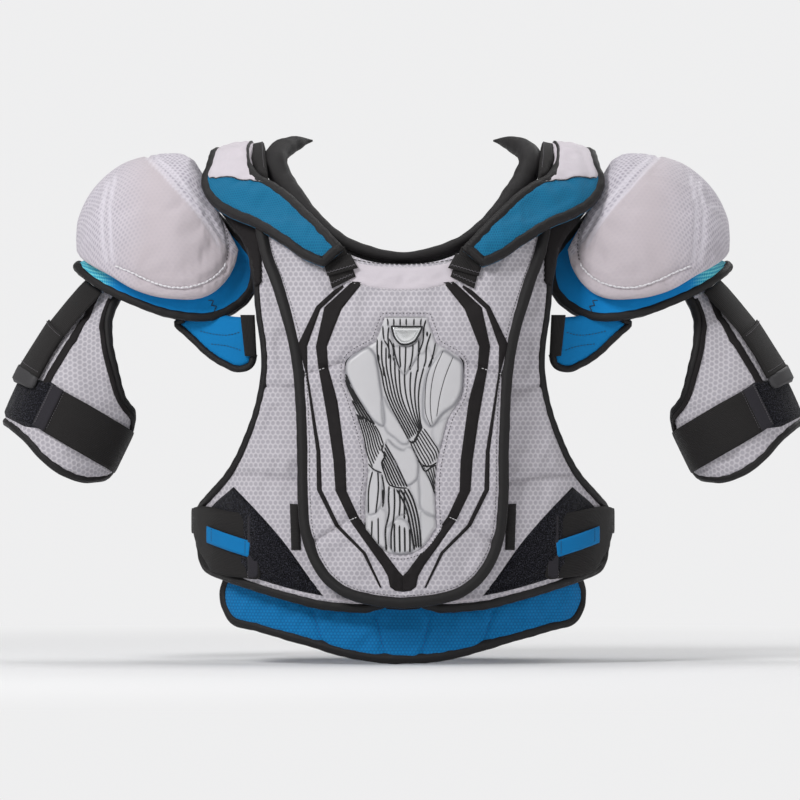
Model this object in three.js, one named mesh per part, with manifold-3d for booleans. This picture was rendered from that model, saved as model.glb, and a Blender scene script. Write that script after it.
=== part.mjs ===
// Senior ice-hockey shoulder pads, worn shape, as an assembly of separate padded panels,
// plates, straps and caps. Millimetres, +Z up, front of the garment towards -Y, wearer's left at +X.
// Origin: centre of the footprint, at the level of the lowest hem.
//
// Panels are drafted on a pattern sheet: u runs across, v runs down, one pattern unit is UNIT mm.
// The sheet is wrapped on a body form (a rounded-box section with sloping shoulders), and each
// layer of the garment lies between two heights h above that form.
// "right" is the wearer's right (-X). Left pieces are mirrored right pieces.
import * as THREE from "three";
import { mergeVertices } from "three/addons/utils/BufferGeometryUtils.js";
import Module from "manifold-3d";

const wasm = await Module();
wasm.setup();

// ---------------------------------------------------------------- driving dimensions
const UNIT = 0.95; // mm per pattern unit
const U_CENTRE = 406; // centre line of the sheet
const V_HEM = 662; // lowest hem
const HALF_WIDTH = 190; // body form, half width
const HALF_DEPTH = 112; // body form, half depth
const ROUNDNESS = 2.3; // section exponent
const V_CHEST = 330; // above this the form closes over the shoulder
const V_SHOULDER = 168; // top of the form beside the neck
const SHOULDER_SLOPE = 0.2;
const FRONT_REACH = 149; // furthest point forward and back
const ARM_TILT = (25.8 * Math.PI) / 180; // upper arm from vertical
const ARM_U = 75;
const ARM_V = 400;
const ARM_OFFSET = 8.5; // pattern units from the arm origin to its axis
const PANEL = 14; // chest and back panel face height
const STERNUM_TOP = 24; // sternum pad face height at the neckline
const STERNUM_FACE = 31; // and over the breastbone
const CAP_PAD = 12; // shoulder cap pad thickness
const GUARD_LOW = 26; // collar guard underside
const GUARD_THICK = 9;
const LATTICE = 28; // pattern units between sampled lines of a panel

// ---------------------------------------------------------------- colours
const skin = (name, colour, roughness, metalness = 0) =>
  new THREE.MeshStandardMaterial({ name, color: colour, roughness, metalness });
const MESH_GREY = skin("mesh_grey", 0xc9c5cc, 0.85);
const BLACK_TRIM = skin("black_trim", 0x1a1a1b, 0.75);
const BLUE_MESH = skin("blue_mesh", 0x0f74bd, 0.8);
const BLACK_WEB = skin("black_webbing", 0x1e1e1f, 0.9);
const LOOP_PILE = skin("loop_pile", 0x0c0c10, 1.0);
const PLASTIC = skin("plate_plastic", 0x2b2d30, 0.45);
const MOULDED = skin("moulded_grey", 0xc4c6ca, 0.4);
const BADGE = skin("badge_silver", 0xd7d9db, 0.3, 0.4);
const LINING = skin("lining_black", 0x17181a, 0.9);

const root = new THREE.Group();

// ---------------------------------------------------------------- body form
const X = (u) => (u - U_CENTRE) * UNIT;
const Z = (v) => (V_HEM - v) * UNIT;
const clamp01 = (t) => Math.min(1, Math.max(0, t));
const smooth = (a, b, x) => {
  const t = clamp01((x - a) / (b - a));
  return t * t * (3 - 2 * t);
};
const shoulderLine = (u) =>
  V_SHOULDER + Math.max(0, Math.abs(u - U_CENTRE) - 116) * SHOULDER_SLOPE;
const section = (u, h) =>
  (HALF_DEPTH + h) *
  Math.pow(
    Math.max(0, 1 - Math.pow(Math.abs(X(u)) / (HALF_WIDTH + h), ROUNDNESS)),
    1 / ROUNDNESS,
  );
// A point on layer h at pattern position u, v. face is -1 at the front, 1 at the back.
function onForm(u, v, h, face = -1) {
  const top = shoulderLine(u) - h / UNIT;
  const t = v >= V_CHEST ? 0 : clamp01((V_CHEST - v) / (V_CHEST - top));
  return new THREE.Vector3(
    X(u),
    face * section(u, h) * Math.sqrt(1 - t * t),
    Z(v),
  );
}
// A point over the shoulder: angle 0 is the front wall, PI the back wall.
function overShoulder(u, angle, h) {
  const rise = (V_CHEST - shoulderLine(u)) * UNIT + h;
  return new THREE.Vector3(
    X(u),
    -section(u, h) * Math.cos(angle),
    Z(V_CHEST) + rise * Math.sin(angle),
  );
}
const shoulderAngle = (u, v, h) =>
  Math.asin(clamp01((V_CHEST - v) / (V_CHEST - shoulderLine(u) + h / UNIT)));
// A point around the waist: angle 0 is the front centre, PI / 2 the wearer's right side.
function aroundWaist(angle, v, h) {
  const s = Math.abs(Math.sin(angle)) ** (2 / ROUNDNESS);
  const c = Math.abs(Math.cos(angle)) ** (2 / ROUNDNESS);
  return new THREE.Vector3(
    -(HALF_WIDTH + h) * s,
    -(HALF_DEPTH + h) * c * Math.sign(Math.cos(angle)),
    Z(v),
  );
}

// ---------------------------------------------------------------- solids
// One closed body with merged corners, its faces turned outwards.
function closed(geometry) {
  geometry.deleteAttribute("normal");
  geometry.deleteAttribute("uv");
  const g = mergeVertices(geometry, 1e-4);
  const p = g.attributes.position;
  const i = g.index.array;
  const a = new THREE.Vector3();
  const b = new THREE.Vector3();
  const c = new THREE.Vector3();
  let volume = 0;
  for (let k = 0; k < i.length; k += 3) {
    a.fromBufferAttribute(p, i[k]);
    b.fromBufferAttribute(p, i[k + 1]);
    c.fromBufferAttribute(p, i[k + 2]);
    volume += a.dot(b.cross(c));
  }
  if (volume < 0)
    for (let k = 0; k < i.length; k += 3)
      [i[k + 1], i[k + 2]] = [i[k + 2], i[k + 1]];
  return g;
}
// A box bent so that (s, t, w) in 0..1 lands on point(s, t, w); w runs through the thickness.
function bent(columns, rows, point) {
  const g = new THREE.BoxGeometry(1, 1, 1, columns, 1, rows);
  const p = g.attributes.position;
  for (let i = 0; i < p.count; i++) {
    const q = point(p.getX(i) + 0.5, p.getZ(i) + 0.5, p.getY(i) + 0.5);
    p.setXYZ(i, q.x, q.y, q.z);
  }
  return closed(g);
}
function solid(g) {
  return new wasm.Manifold(
    new wasm.Mesh({
      numProp: 3,
      vertProperties: new Float32Array(g.attributes.position.array),
      triVerts: new Uint32Array(g.index.array),
    }),
  );
}
function shape(made) {
  const m = made.getMesh();
  const v = new Float32Array(m.numVert * 3);
  for (let i = 0; i < m.numVert; i++)
    v.set(
      m.vertProperties.subarray(i * m.numProp, i * m.numProp + 3),
      i * 3,
    );
  return new THREE.BufferGeometry()
    .setAttribute("position", new THREE.BufferAttribute(v, 3))
    .setIndex(new THREE.BufferAttribute(new Uint32Array(m.triVerts), 1));
}
// A prism along Y with the given pattern outline.
function prism(outline, y0, y1) {
  const flat = new THREE.Shape(
    outline.map(([u, v]) => new THREE.Vector2(X(u), Z(v))),
  );
  const g = new THREE.ExtrudeGeometry(flat, {
    depth: y1 - y0,
    bevelEnabled: false,
  });
  g.rotateX(Math.PI / 2);
  g.translate(0, y1, 0);
  return closed(g);
}
const level = (h, u, v) => (typeof h === "function" ? h(u, v) : h);
// A panel cut to its outline between layers low and high of the form.
// Every panel is sampled on the same lattice, so stacked layers stay parallel.
function panel(outline, low, high, face = -1) {
  const us = outline.map((p) => p[0]);
  const vs = outline.map((p) => p[1]);
  const snap = (x, centre, way) =>
    centre + LATTICE * way((x - centre) / LATTICE);
  const u0 = snap(Math.min(...us) - 1, U_CENTRE, Math.floor);
  const u1 = snap(Math.max(...us) + 1, U_CENTRE, Math.ceil);
  const v0 = snap(Math.min(...vs) - 1, V_CHEST, Math.floor);
  const v1 = snap(Math.max(...vs) + 1, V_CHEST, Math.ceil);
  const sheet = bent(
    Math.round((u1 - u0) / LATTICE),
    Math.round((v1 - v0) / LATTICE),
    (s, t, w) => {
      const u = u0 + (u1 - u0) * s;
      const v = v0 + (v1 - v0) * t;
      return onForm(u, v, level(w < 0.5 ? low : high, u, v), face);
    },
  );
  const cutter = face < 0 ? prism(outline, -260, 0.5) : prism(outline, -0.5, 260);
  return shape(solid(sheet).intersect(solid(cutter)));
}
// A round roll through stations [point, half width, half depth].
function roll(stations, sides) {
  const n = stations.length - 1;
  const g = new THREE.CylinderGeometry(1, 1, 1, sides, n, false);
  const p = g.attributes.position;
  const path = stations.map((s) => s[0]);
  const forward = path.map((_, i) =>
    path[Math.min(n, i + 1)]
      .clone()
      .sub(path[Math.max(0, i - 1)])
      .normalize(),
  );
  for (let k = 0; k < p.count; k++) {
    const i = Math.round((0.5 - p.getY(k)) * n);
    const across = new THREE.Vector3(0, 1, 0).cross(forward[i]).normalize();
    const out = forward[i].clone().cross(across).normalize();
    const q = path[i]
      .clone()
      .addScaledVector(across, p.getX(k) * stations[i][1])
      .addScaledVector(out, p.getZ(k) * stations[i][2]);
    p.setXYZ(k, q.x, q.y, q.z);
  }
  return closed(g);
}
function mirrored(g) {
  const m = g.clone().scale(-1, 1, 1);
  const i = m.index.array;
  for (let k = 0; k < i.length; k += 3)
    [i[k + 1], i[k + 2]] = [i[k + 2], i[k + 1]];
  return m;
}
const bothHalves = (half) => [
  ...half,
  ...half
    .slice()
    .reverse()
    .filter(([u]) => Math.abs(u - U_CENTRE) > 0.5)
    .map(([u, v]) => [2 * U_CENTRE - u, v]),
];
function add(name, geometry, material) {
  const mesh = new THREE.Mesh(geometry, material);
  mesh.name = name;
  root.add(mesh);
}
function addPair(name, geometry, material) {
  add(name + "_right", geometry, material);
  add(name + "_left", mirrored(geometry), material);
}
const mix = (a, b, t) => a + (b - a) * t;
// Interpolates rows of numbers by a fraction of the list's length.
function between(rows, t) {
  const k = clamp01(t) * (rows.length - 1);
  const i = Math.min(Math.floor(k), rows.length - 2);
  return rows[i].map((x, j) => mix(x, rows[i + 1][j], k - i));
}
// Interpolates [key, value] pairs by key.
function lookup(pairs, key) {
  if (key <= pairs[0][0]) return pairs[0][1];
  for (let i = 1; i < pairs.length; i++)
    if (key <= pairs[i][0])
      return mix(
        pairs[i - 1][1],
        pairs[i][1],
        (key - pairs[i - 1][0]) / (pairs[i][0] - pairs[i - 1][0]),
      );
  return pairs[pairs.length - 1][1];
}

// ---------------------------------------------------------------- chest panels
// The panel thins towards the side so that the waist strap can wrap it.
const panelFace = (u) =>
  mix(PANEL, 8, smooth(150, 190, Math.abs(u - U_CENTRE)));
const ARMHOLE = [
  [200, 508],
  [212, 497],
  [228, 479],
  [240, 460],
  [249, 440],
  [257, 415],
  [263, 390],
  [266, 365],
  [265, 345],
  [262, 318],
  [260, 290],
  [260, 255],
  [256, 225],
  [242, 192],
];
const chestOutline = [
  [392, 272],
  [392, 611],
  [370, 610],
  [330, 606],
  [295, 601],
  [255, 593],
  [226, 585],
  [207, 574],
  [200, 545],
  ...ARMHOLE,
  [267, 192],
  [279, 207],
  [297, 227],
  [320, 246],
  [346, 260],
  [372, 269],
];
addPair("chest_panel", panel(chestOutline, 2, panelFace), MESH_GREY);

// Lining that joins the two chest panels behind the breastbone.
const frontLining = bothHalves([
  [406, 278],
  [350, 266],
  [322, 246],
  [300, 300],
  [296, 420],
  [302, 556],
  [330, 586],
  [406, 591],
]);
add("front_lining", panel(frontLining, -1.2, 1.6), LINING);

// ---------------------------------------------------------------- sternum pad, in layers
const sternumOutline = bothHalves([
  [406, 268],
  [372, 264],
  [350, 255],
  [326, 240],
  [306, 222],
  [262, 222],
  [268, 250],
  [280, 288],
  [292, 330],
  [299, 380],
  [302, 440],
  [304, 500],
  [309, 540],
  [320, 570],
  [345, 592],
  [372, 602],
  [406, 606],
]);
const insertOutline = bothHalves([
  [406, 317],
  [387, 317],
  [378, 341],
  [349, 362],
  [348, 385],
  [358, 419],
  [370, 460],
  [370, 527],
  [384, 549],
  [406, 555],
]);
const inset = (outline, du, dv, cu, cv) =>
  outline.map(([u, v]) => [
    cu + (u - cu) * du,
    cv + (v - cv) * dv,
  ]);
const sternumFace = (u, v) =>
  mix(STERNUM_TOP, STERNUM_FACE, smooth(262, 330, v));
add(
  "sternum_foam",
  panel(inset(sternumOutline, 0.96, 0.965, 406, 430), 15, 18.2),
  LINING,
);
add(
  "sternum_plate",
  panel(inset(sternumOutline, 0.8, 0.84, 406, 440), 18.5, 20.5),
  PLASTIC,
);
const sternumBlank = solid(panel(sternumOutline, 20.8, sternumFace));
const windowOutline = inset(insertOutline, 1.02, 1.01, 406, 436);
add(
  "sternum_pad",
  shape(
    sternumBlank.subtract(
      solid(panel(windowOutline, 26, 60)),
    ),
  ),
  MESH_GREY,
);
add(
  "sternum_insert",
  panel(insertOutline, 26.4, FRONT_REACH - HALF_DEPTH - 1.6),
  MOULDED,
);
add(
  "sternum_badge",
  panel(
    bothHalves([
      [406, 326],
      [394, 326],
      [397, 336],
      [406, 344],
    ]),
    FRONT_REACH - HALF_DEPTH - 1.2,
    FRONT_REACH - HALF_DEPTH,
  ),
  BADGE,
);
// Elastic keepers that hold the sternum pad's lower sides to the chest panels.
addPair(
  "sternum_keeper",
  panel(
    [
      [291, 503],
      [301, 503],
      [303, 549],
      [294, 549],
    ],
    14.3,
    16.8,
  ),
  BLACK_WEB,
);

// ---------------------------------------------------------------- waist closure
const patchFace = (u) => panelFace(u) + 1.6;
addPair(
  "waist_loop_patch",
  panel(
    [
      [237, 490],
      [262, 513],
      [289, 545],
      [306, 572],
      [322, 596],
      [290, 591],
      [250, 583],
      [224, 575],
      [209, 564],
      [206, 535],
      [210, 512],
    ],
    (u) => panelFace(u) + 0.4,
    patchFace,
  ),
  LOOP_PILE,
);
const waistAngle = (u, h) => {
  const s = Math.min(1, Math.abs(X(u)) / (HALF_WIDTH + h));
  return Math.asin(s ** (ROUNDNESS / 2));
};
const sideHeight = (a) => mix(8, 14, smooth(1.25, 0.75, Math.abs(a)));
const TAB_FRONT = waistAngle(254, 17);
const TAB_HINGE = 1.4;
addPair(
  "waist_hook_tab",
  bent(5, 3, (s, t, w) => {
    const a = mix(TAB_FRONT, TAB_HINGE, s);
    const v = mix(mix(514, 508, s), mix(577, 566, s), t);
    return aroundWaist(a, v, sideHeight(a) + (w < 0.5 ? 2.2 : 4.4));
  }),
  BLACK_WEB,
);
addPair(
  "waist_pull_loop",
  bent(4, 1, (s, t, w) => {
    const a = mix(TAB_FRONT - 0.015, TAB_FRONT + 0.36, s);
    const v = mix(mix(533, 526, s), mix(555, 546, s), t);
    return aroundWaist(a, v, sideHeight(a) + (w < 0.5 ? 4.8 : 6.2));
  }),
  BLUE_MESH,
);

// ---------------------------------------------------------------- back panels
const backOutline = [
  [403, 281],
  [403, 604],
  [330, 602],
  [295, 598],
  [255, 590],
  [226, 582],
  [207, 572],
  [200, 545],
  ...ARMHOLE.slice(0, -1),
  [244, 197],
  [270, 197],
  [283, 214],
  [302, 236],
  [328, 258],
  [354, 271],
  [380, 279],
];
addPair("back_panel", panel(backOutline, 2, panelFace, 1), MESH_GREY);
const spineOutline = bothHalves([
  [406, 286],
  [360, 284],
  [338, 300],
  [330, 350],
  [334, 430],
  [332, 500],
  [344, 560],
  [372, 590],
  [406, 596],
]);
add("spine_foam", panel(inset(spineOutline, 0.95, 0.96, 406, 440), 14.6, 18, 1), LINING);
add("spine_plate", panel(inset(spineOutline, 0.8, 0.86, 406, 440), 18.3, 20.3, 1), PLASTIC);
add("spine_pad", panel(spineOutline, 20.6, 30, 1), MESH_GREY);
// Moulded spine cover with one flat outer face: the pads rest on it when laid on their back.
add(
  "spine_cover",
  prism(
    bothHalves([
      [406, 330],
      [378, 330],
      [368, 352],
      [372, 430],
      [368, 500],
      [384, 542],
      [406, 550],
    ]),
    HALF_DEPTH + 30.4,
    FRONT_REACH,
  ),
  MOULDED,
);
const backLining = bothHalves([
  [406, 284],
  [352, 272],
  [322, 300],
  [310, 420],
  [314, 556],
  [340, 586],
  [406, 590],
]);
add("back_lining", panel(backLining, -1.2, 1.6, 1), LINING);
addPair(
  "side_elastic",
  bent(7, 2, (s, t, w) => {
    const a = mix(TAB_HINGE + 0.03, 2.15, s);
    const v = mix(508, 566, t);
    return aroundWaist(
      a,
      v,
      mix(8, 14, smooth(1.9, 2.4, a)) + (w < 0.5 ? 2.2 : 4.4),
    );
  }),
  BLACK_WEB,
);

// ---------------------------------------------------------------- belly and kidney pads
const hemOutline = (lift) =>
  bothHalves([
    [406, 600 - lift],
    [370, 599 - lift],
    [330, 595 - lift],
    [295, 590 - lift],
    [255, 582 - lift],
    [226, 576 - lift],
    [223, 590 - lift],
    [226, 612 - lift],
    [232, 622 - lift],
    [260, 631 - lift],
    [310, 645 - lift],
    [350, 656 - lift],
    [385, 661.4 - lift],
    [406, 662 - lift],
  ]);
add("belly_pad", panel(hemOutline(0), -9.5, -1.8), BLUE_MESH);
add("kidney_pad", panel(hemOutline(0), -9.5, -1.8, 1), BLUE_MESH);

// ---------------------------------------------------------------- shoulder yoke
const YOKE = [
  // u inner, u outer at fractions from the front to the back
  [265, 242],
  [264, 238],
  [265, 235],
  [267, 234],
  [268, 235],
  [269, 239],
  [269, 243],
];
addPair(
  "shoulder_yoke",
  bent(3, 10, (s, t, w) => {
    const [ui, uo] = between(YOKE, t);
    const h = w < 0.5 ? 2 : 12;
    const start = shoulderAngle(242, 190.5, h);
    const end = Math.PI - shoulderAngle(243, 195.5, h);
    return overShoulder(mix(ui, uo, s), mix(start, end, t), h);
  }),
  MESH_GREY,
);

// ---------------------------------------------------------------- neck roll
const rollPoint = (u, v, y) => new THREE.Vector3(X(u), y, Z(v));
const NECK = [
  // u, v, half width, half depth, fixed depth or null to lie on the form
  [313, 138.5, 1.6, 1.6, 19],
  [303, 140, 4.6, 5, 8],
  [292, 145.5, 8.4, 8.5, -7],
  [284, 154, 10.8, 10, -24],
  [281, 166, 11, 10, -42],
  [286, 181, 10, 9.5, null],
  [295.5, 197, 8.6, 9, null],
  [308, 213.5, 7, 8.5, null],
  [324, 230, 5.8, 8, null],
  [346, 245.5, 5, 7.5, null],
  [373, 255.5, 4.7, 7.5, null],
  [406, 258.5, 4.7, 7.5, null],
];
const NECK_LEVEL = 12;
const frontRoll = NECK.map(([u, v, a, b, y]) => [
  y === null ? onForm(u, v, NECK_LEVEL) : rollPoint(u, v, y),
  a,
  b,
]);
add(
  "neck_roll_front",
  roll(
    [
      ...frontRoll,
      ...frontRoll
        .slice(0, -1)
        .reverse()
        .map(([p, a, b]) => [new THREE.Vector3(-p.x, p.y, p.z), a, b]),
    ],
    8,
  ),
  BLACK_TRIM,
);
const backRoll = [
  [293, 201, 5, 6],
  [308, 220, 5, 6],
  [326, 238, 4.6, 6],
  [348, 252, 4.4, 6],
  [375, 264, 4.2, 6],
  [406, 267, 4.2, 6],
].map(([u, v, a, b]) => [onForm(u, v, 9, 1), a, b]);
add(
  "neck_roll_back",
  roll(
    [
      ...backRoll,
      ...backRoll
        .slice(0, -1)
        .reverse()
        .map(([p, a, b]) => [new THREE.Vector3(-p.x, p.y, p.z), a, b]),
    ],
    8,
  ),
  BLACK_TRIM,
);

// ---------------------------------------------------------------- collar guards
const GUARD = [
  // neck edge u, v, outer edge u, v, underside height
  [346, 250, 325, 266, 30],
  [330, 235, 300, 254, 28.5],
  [314, 218, 271, 239.5, 27],
  [300, 202, 250, 228, 26],
  [286, 186, 230, 214.5, 25],
  [274, 174, 214, 201, 25],
  [265, 164, 206, 184, 25],
];
const guardRows = GUARD.map(([un, vn, uo, vo, h]) => [
  un,
  shoulderAngle(un, vn, h + GUARD_THICK),
  uo,
  shoulderAngle(uo, vo, h + GUARD_THICK),
  h,
]);
guardRows.push(
  [260, 1.3, 206, 1.25, 25],
  [258, 1.57, 210, 1.57, 25],
  [258, 1.82, 216, 1.82, 25],
);
addPair(
  "collar_guard",
  bent(3, 14, (s, t, w) => {
    const [un, an, uo, ao, h] = between(guardRows, t);
    return overShoulder(mix(un, uo, s), mix(an, ao, s), w < 0.5 ? h : h + GUARD_THICK);
  }),
  BLUE_MESH,
);
// Elastic that ties the guard's front tip to the sternum pad.
addPair(
  "collar_strap",
  panel(
    [
      [331, 270],
      [351, 261],
      [361, 271],
      [352, 277],
      [337, 288],
    ],
    (u, v) => sternumFace(u, v) + 0.4,
    (u, v) => sternumFace(u, v) + 2.6,
  ),
  BLACK_WEB,
);

// ---------------------------------------------------------------- shoulder caps
// Stations from the outer end inboard: front rim u, v; crown u, v; half depth.
const CAP = [
  [82, 256, 80.5, 251, 34],
  [86, 259, 82, 229, 50],
  [97, 264, 92, 200, 64],
  [113, 272, 107, 180, 75],
  [135, 286, 128, 164, 83],
  [159, 296, 152, 157.5, 87],
  [182, 299.5, 172, 155.5, 88],
  [202, 299, 185, 156.5, 84],
  [218, 293, 193, 160, 78],
  [231, 281, 199, 166, 71],
  [240, 265, 205, 174, 63],
  [243.5, 249, 210, 183, 55],
];
const LINER = [
  [79, 266, 80, 264.5, 18],
  [84, 272, 101, 256, 33],
  [96, 282, 108, 227, 47],
  [115, 297, 116, 200, 58],
  [140, 309, 132, 183, 66],
  [165, 317, 152, 175.5, 70],
  [190, 320, 172, 173, 70.5],
  [213, 319, 185, 173.5, 67],
  [233, 311, 193, 177, 61],
  [249, 297, 199, 183.5, 54],
  [256, 280, 205, 192, 46],
  [256, 256, 210, 201, 38],
];
function domePoint(rows, s, a, inward) {
  const [bu, bv, tu, tv, depth] = between(rows, s);
  const end = clamp01(1 - s / 0.45);
  const sn = Math.sin(a * Math.PI);
  const shift = (end * inward) / UNIT;
  return new THREE.Vector3(
    X(mix(bu, tu, sn) + shift),
    -(depth - inward) * Math.cos(a * Math.PI),
    Z(mix(bv, tv + ((1 - end) * inward) / UNIT, sn)),
  );
}
addPair(
  "cap_pad",
  bent(11, 12, (s, t, w) => domePoint(CAP, s, t, w < 0.5 ? CAP_PAD : 0)),
  MESH_GREY,
);
addPair(
  "cap_shell",
  bent(8, 10, (s, t, w) =>
    domePoint(
      CAP,
      mix(2, 10, s) / 11,
      mix(1, 11, t) / 12,
      w < 0.5 ? CAP_PAD + 2.7 : CAP_PAD + 1.1,
    ),
  ),
  PLASTIC,
);
addPair(
  "cap_liner",
  bent(11, 12, (s, t, w) => domePoint(LINER, s, t, w < 0.5 ? 7 : 0.4)),
  BLUE_MESH,
);
// Webbing that hangs the cap from the yoke.
addPair(
  "cap_hinge_web",
  bent(2, 2, (s, t, w) => {
    const u = mix(231, 221, s);
    return new THREE.Vector3(
      X(u),
      mix(-22, 22, t),
      Z(mix(185, 192, s)) + (w < 0.5 ? -1.2 : 1.2),
    );
  }),
  BLACK_WEB,
);

// ---------------------------------------------------------------- underarm flaps
const flapDepth = (u) => mix(-70, -52, clamp01((255 - u) / 75));
addPair(
  "underarm_flap",
  (() => {
    const outline = [
      [180, 328],
      [212, 357],
      [226, 366],
      [243, 372],
      [253, 367],
      [256, 330],
      [252, 318],
      [236, 318],
      [205, 323],
    ];
    const blank = bent(4, 2, (s, t, w) => {
      const u = mix(176, 260, s);
      return new THREE.Vector3(
        X(u),
        flapDepth(u) + (w < 0.5 ? 3.5 : -3.5),
        Z(mix(312, 376, t)),
      );
    });
    return shape(solid(blank).intersect(solid(prism(outline, -200, 0))));
  })(),
  BLUE_MESH,
);
addPair(
  "flap_elastic",
  bent(1, 3, (s, t, w) => {
    const u = mix(mix(250, 246, t), mix(259, 257, t), s);
    return new THREE.Vector3(
      X(u),
      flapDepth(u) - 4.2 - (w < 0.5 ? 0 : 2.2),
      Z(mix(324, 360, t)),
    );
  }),
  BLACK_WEB,
);

// ---------------------------------------------------------------- bicep guards
const ARM_RADIUS = [
  [-122, 38],
  [-108, 41],
  [-77, 48],
  [-50, 53],
  [-14, 57],
  [6, 57.5],
];
const armRadius = (t) => lookup(ARM_RADIUS, t);
// angle 0 faces forward and grows towards the body; t runs down the arm in pattern units.
function onArm(angle, t, r) {
  const s = ARM_OFFSET + (r / UNIT) * Math.sin(angle);
  const c = Math.cos(ARM_TILT);
  const d = Math.sin(ARM_TILT);
  return new THREE.Vector3(
    X(ARM_U + s * c - t * d),
    -r * Math.cos(angle),
    Z(ARM_V + s * d + t * c),
  );
}
const DEG = Math.PI / 180;
const BICEP = [
  // angle, upper edge t, lower edge t
  [-150, 2, 45],
  [-125, -28, 50],
  [-100, -62, 52],
  [-78, -100, 52],
  [-55, -114, 53],
  [-30, -119, 58],
  [-9, -118, 66],
  [-3, -80, 69],
  [17, -50, 71],
  [40, -28, 69],
  [58, -14, 63],
  [78, 0, 56],
  [94, 10, 46],
];
addPair(
  "bicep_pad",
  bent(BICEP.length - 1, 5, (s, t, w) => {
    const [a, t0, t1] = between(BICEP, s);
    const at = mix(t0, t1, t);
    return onArm(a * DEG, at, armRadius(at) - (w < 0.5 ? 9 : 0));
  }),
  MESH_GREY,
);
addPair(
  "bicep_plate",
  bent(7, 2, (s, t, w) => {
    const at = mix(-38, 40, t);
    return onArm(
      between(BICEP.slice(2, 10), s)[0] * DEG,
      at,
      armRadius(at) - (w < 0.5 ? 12.4 : 10.4),
    );
  }),
  PLASTIC,
);
addPair(
  "bicep_loop_patch",
  bent(5, 2, (s, t, w) => {
    const at = mix(-12, 47, t);
    return onArm(
      between(BICEP.slice(1, 6), s)[0] * DEG,
      at,
      armRadius(at) + (w < 0.5 ? 0.8 : 2.3),
    );
  }),
  LOOP_PILE,
);
addPair(
  "bicep_strap",
  bent(9, 1, (s, t, w) =>
    onArm(mix(-52, 91, s) * DEG, mix(1, 46, t), w < 0.5 ? 61.3 : 63.3),
  ),
  BLACK_WEB,
);
addPair(
  "bicep_strap_back",
  bent(7, 1, (s, t, w) =>
    onArm(mix(96, 206, s) * DEG, mix(3, 44, t), w < 0.5 ? 55.5 : 57.7),
  ),
  BLACK_WEB,
);
const HANGER_RADIUS = [
  [-112, 43.5],
  [-60, 53.5],
  [-5, 61],
];
addPair(
  "bicep_hanger",
  bent(3, 5, (s, t, w) => {
    const at = mix(-111, -3, t);
    return onArm(
      mix(mix(-80, -88, t), mix(-38, -42, t), s) * DEG,
      at,
      lookup(HANGER_RADIUS, at) + (w < 0.5 ? 0 : 2.2),
    );
  }),
  BLACK_WEB,
);
export default root;
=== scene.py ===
import math

import bpy
import numpy as np
from mathutils import Matrix, Vector
from mathutils.geometry import delaunay_2d_cdt


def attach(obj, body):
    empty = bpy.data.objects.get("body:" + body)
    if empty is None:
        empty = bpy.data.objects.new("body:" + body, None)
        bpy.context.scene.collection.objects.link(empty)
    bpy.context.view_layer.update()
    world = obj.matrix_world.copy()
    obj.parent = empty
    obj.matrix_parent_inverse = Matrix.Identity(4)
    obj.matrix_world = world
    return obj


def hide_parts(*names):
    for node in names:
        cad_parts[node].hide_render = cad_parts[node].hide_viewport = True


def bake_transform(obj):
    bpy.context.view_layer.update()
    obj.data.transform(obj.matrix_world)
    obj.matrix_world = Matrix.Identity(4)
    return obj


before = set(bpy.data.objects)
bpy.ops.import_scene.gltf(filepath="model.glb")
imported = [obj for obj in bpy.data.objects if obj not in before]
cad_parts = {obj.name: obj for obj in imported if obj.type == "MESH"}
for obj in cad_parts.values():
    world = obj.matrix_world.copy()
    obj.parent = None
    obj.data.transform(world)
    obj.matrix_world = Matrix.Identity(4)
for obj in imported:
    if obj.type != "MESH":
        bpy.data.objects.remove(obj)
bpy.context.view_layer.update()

rng = np.random.default_rng(7)
SIDES = ("right", "left")

# ------------------------------------------------------------------ pattern sheet and body form (mm)
UNIT, U0, VH = 0.95, 406.0, 662.0
HW, HD, RN, VC, VS = 190.0, 112.0, 2.3, 330.0, 168.0


def A(*x):
    return np.array(x, float)


def lerp(a, b, t):
    return a + (b - a) * t


def sstep(a, b, x):
    t = np.clip((np.asarray(x, float) - a) / (b - a), 0, 1)
    return t * t * (3 - 2 * t)


def shoulder(u):
    return VS + np.maximum(0, np.abs(u - U0) - 116) * 0.2


def section(u, h):
    x = np.abs(u - U0) * UNIT
    return (HD + h) * np.maximum(0, 1 - (x / (HW + h)) ** RN) ** (1 / RN)


class Form:
    """The torso form. face -1 front, +1 back."""

    def __init__(self, face=-1):
        self.face = face

    def __call__(self, u, v, h):
        u, v = np.asarray(u, float), np.asarray(v, float)
        h = np.zeros_like(u) + h
        top = shoulder(u) - h / UNIT
        t = np.where(v >= VC, 0, np.clip((VC - v) / (VC - top), 0, 0.999))
        y = self.face * section(u, h) * np.sqrt(1 - t * t)
        return np.stack([(u - U0) * UNIT, y, (VH - v) * UNIT], -1)

    def fab(self, u, v):
        x = (u - U0) * UNIT
        xs = np.linspace(-205, 205, 400)
        ys = (HD + 14) * np.maximum(0, 1 - (np.abs(xs) / (HW + 16)) ** RN) ** (1 / RN)
        arc = np.concatenate([[0], np.cumsum(np.hypot(np.diff(xs), np.diff(ys)))])
        arc -= np.interp(0, xs, arc)
        t = np.clip((VC - v) / (VC - shoulder(u)), 0, 0.999)
        fy = np.where(v >= VC, -v * UNIT, -VC * UNIT + 140 * np.arcsin(t))
        return np.stack([np.interp(x, xs, arc), fy, np.zeros_like(fy)], -1)


FRONT, BACK = Form(-1), Form(1)


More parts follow.
